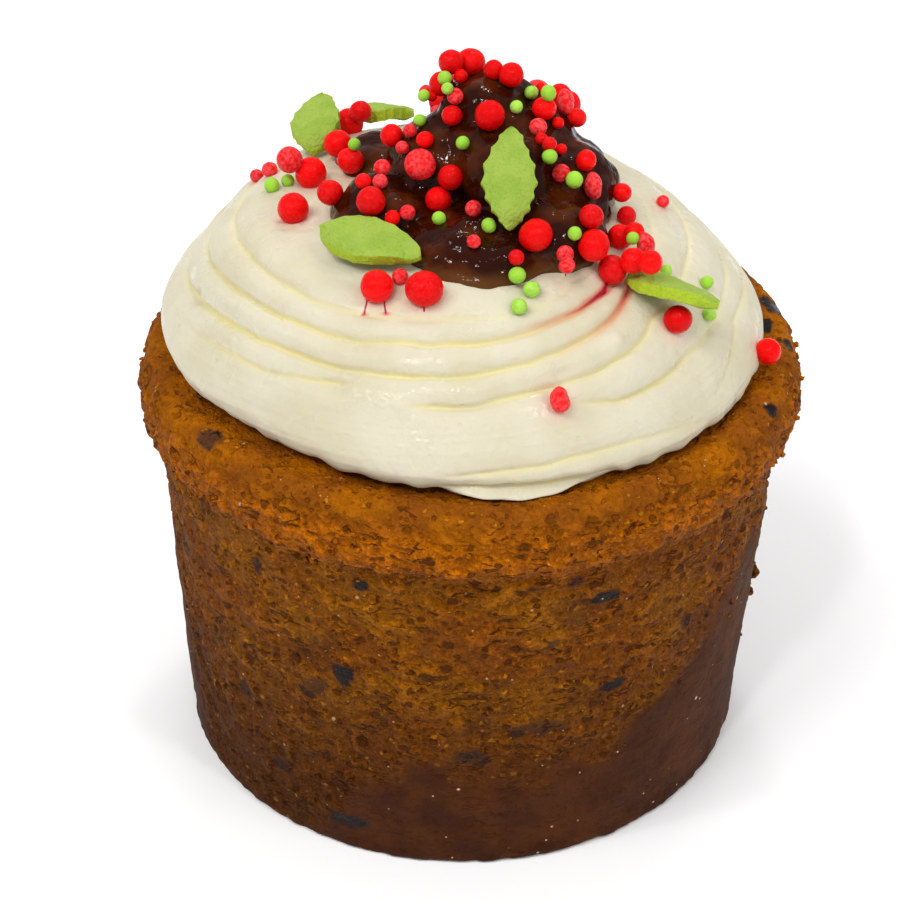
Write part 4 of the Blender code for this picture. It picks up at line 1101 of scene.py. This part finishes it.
def addPearl(start, way, radius, kind, carriers, leafTrees, placed):
    point = firstContact(start, way, radius, carriers, placed)
    first = ownerOf(point, radius, carriers, placed)
    for owner in [first] + [name for name in carriers if name != first]:
        settled = settle(point, radius, owner, carriers, leafTrees, placed)
        if settled is not None and (settled - point).length < pearl["furthestMove"]:
            placed.append((settled, radius, owner, kind))
            return True
    return False


def sightWay(across, up):
    toward = (pearl["sightPoint"] - pearl["sightCentre"]).normalized()
    acrossAxis = Vector((0, 0, 1)).cross(toward).normalized()
    target = pearl["sightCentre"] + (acrossAxis * across + toward.cross(acrossAxis) * up) * mm
    return (target - pearl["sightPoint"]).normalized()


def placePearls(carriers, leafTrees):
    placed = []
    for kind in ("largeRed", "smallRed", "green"):
        for across, up, diameter in pearl[kind]:
            way = sightWay(across, up)
            if not addPearl(pearl["sightPoint"], way, diameter / 2 * mm, kind, carriers, leafTrees, placed):
                print("left out", kind, across, up)
    draw = random.Random(pearl["backSeed"])
    for _ in range(pearl["backPearls"]):
        turn = math.radians(draw.uniform(*pearl["backTurns"]))
        reach = draw.uniform(*pearl["backReach"]) * mm
        radius = draw.choice(pearl["backRadii"]) * mm
        start = ringPoint(turn, reach, pearl["backDrop"]) + pearl["backShift"]
        kind = "largeRed" if radius > pearl["largeFrom"] else "smallRed"
        addPearl(start, Vector((0, 0, -1)), radius, kind, carriers, leafTrees, placed)
    print("pearls placed", len(placed))
    return placed


def makePearlMaterial(name):
    deep, bright, pale = pearl["tints"][name]
    made, tree, shader, coords = newMaterial(name)
    marks = readMarks(tree, "tone")
    fine = patchy(tree, coords, 0.42 * mm, low=0.36, high=0.66)
    colour = mixColour(tree, marks["Green"], bright, deep)
    pink = times(tree, marks["Red"], plus(tree, times(tree, fine, 0.72), 0.08))
    colour = mixColour(tree, pink, colour, pale)
    colour = mixColour(tree, times(tree, times(tree, fine, marks["Red"]), 0.3), colour, pale)
    setShader(shader, Base_Color=colour, Roughness=stretch(tree, fine, 0.0, 1.0, 0.22, 0.4),
              Specular_IOR_Level=0.09)
    setBump(shader, patchy(tree, coords, 1.3 * mm, low=0.38, high=0.68), pearl["bump"], 0.5)
    return made


def makePearls(name, kind, placed, material, pinkShare):
    form = bmesh.new()
    draw = random.Random(len(kind))
    tones = []
    chosen = [item for item in placed if item[3] == kind]
    for point, radius, _, _ in chosen:
        made = bmesh.ops.create_icosphere(form, subdivisions=3, radius=radius)["verts"]
        squash = Matrix.Diagonal([draw.uniform(0.95, 1.04) for _ in range(3)])
        turn = Matrix.Rotation(draw.uniform(0, 6), 3, Vector((draw.random(), draw.random(), 1)))
        seed = draw.uniform(0, 50)
        knobs = pearl["knobs"]
        if radius == pearl["longRadius"]:
            squash = Matrix.Diagonal(pearl["longShape"])
            turn = Matrix.Rotation(pearl["longLean"], 3, "Y")
            knobs = pearl["longKnobs"]
        for vertex in made:
            vertex.co = turn @ (squash @ vertex.co)
            vertex.co *= 1 + knobs * rough(vertex.co, radius * 0.8, seed)
            vertex.co += point
        pink = draw.uniform(0.5, 1) if draw.random() < pinkShare or knobs > 0.1 else draw.uniform(0, 0.08)
        tones += [(pink, draw.uniform(0, 0.5), 0, 1)] * len(made)
    paint(form, "tone", tones)
    return makePiece(name, form, material, sorted({carrierNodes[item[2]] for item in chosen}))


crumb = {
    # loose crumbs on the side: direction, height and size in mm
    "listed": [(-11, 22.0, 1.7), (-10, 18.6, 1.2), (-23, 44.0, 1.2), (-24, 45.4, 0.9), (-158, 43.5, 0.9)],
    # scattered ones: how many, the range of heights, or of distances from the axis on top, and of sizes
    "lip": (190, (42.5, 50), (0.35, 0.95)),
    "side": (120, (14, 42), (0.3, 0.7)),
    "top": (70, (35.5, 39), (0.25, 0.6)),
    "seed": 9, "lift": 0.14,
}


def addCrumb(form, draw, seat, normal, size):
    place = seat + normal * size * crumb["lift"] * mm
    made = bmesh.ops.create_icosphere(form, subdivisions=2, radius=size / 2 * mm)["verts"]
    squash = Matrix.Diagonal((draw.uniform(0.7, 1.25), draw.uniform(0.7, 1.25), draw.uniform(0.6, 1.0)))
    turn = Matrix.Rotation(draw.uniform(0, 6), 3, Vector((draw.random(), draw.random(), 1)))
    seed = draw.uniform(0, 90)
    for vertex in made:
        vertex.co *= 1 + 0.5 * rough(vertex.co, size * 0.35 * mm, seed)
        vertex.co = turn @ (squash @ vertex.co) + place


def makeCrumbs(cup, cupTree):
    draw = random.Random(crumb["seed"])
    places = list(crumb["listed"])
    for count, heights, sizes in (crumb["lip"], crumb["side"]):
        places += [(draw.uniform(-180, 180), draw.uniform(*heights), draw.uniform(*sizes))
                   for _ in range(count)]
    form = bmesh.new()
    for direction, height, size in places:
        turn = math.radians(direction)
        start = ringPoint(turn, 60 * mm, height * mm) + footShiftAt(height * mm)
        seat, normal, _, _ = cupTree.ray_cast(start, -ringPoint(turn, 1, 0))
        addCrumb(form, draw, seat, normal, size)
    count, reaches, sizes = crumb["top"]
    for _ in range(count):
        turn = draw.uniform(-math.pi, math.pi)
        reach = draw.uniform(*reaches) * mm
        seat, normal, _, _ = cupTree.ray_cast(ringPoint(turn, reach, 80 * mm), Vector((0, 0, -1)))
        addCrumb(form, draw, seat, normal, draw.uniform(*sizes))
    return makePiece("looseCrumbs", form, cup.data.materials[0], ["cookie_base"])


def treeOf(obj):
    return BVHTree.FromPolygons([vertex.co for vertex in obj.data.vertices],
                                [polygon.vertices[:] for polygon in obj.data.polygons])


makeStudio()
cup = makeCookie()
swirl = makeIcing()
swirlTree = treeOf(swirl)
heap = makeSauce(swirlTree)
leafGreen = makeLeafMaterial()
leafPieces = [makeLeaf(name, leafGreen) for name in leaf["leaves"]]
carrierTrees = {"cookie": treeOf(cup), "icing": swirlTree, "sauce": treeOf(heap)}
pearls = placePearls(carrierTrees, [treeOf(piece) for piece in leafPieces])
makeCrumbs(cup, carrierTrees["cookie"])
stainIcing(swirl, pearls)
redMaterial = makePearlMaterial("redPearl")
greenMaterial = makePearlMaterial("greenPearl")
makePearls("redPearlsLarge", "largeRed", pearls, redMaterial, 0.15)
makePearls("redPearlsSmall", "smallRed", pearls, redMaterial, 0.6)
makePearls("greenPearls", "green", pearls, greenMaterial, 0.3)
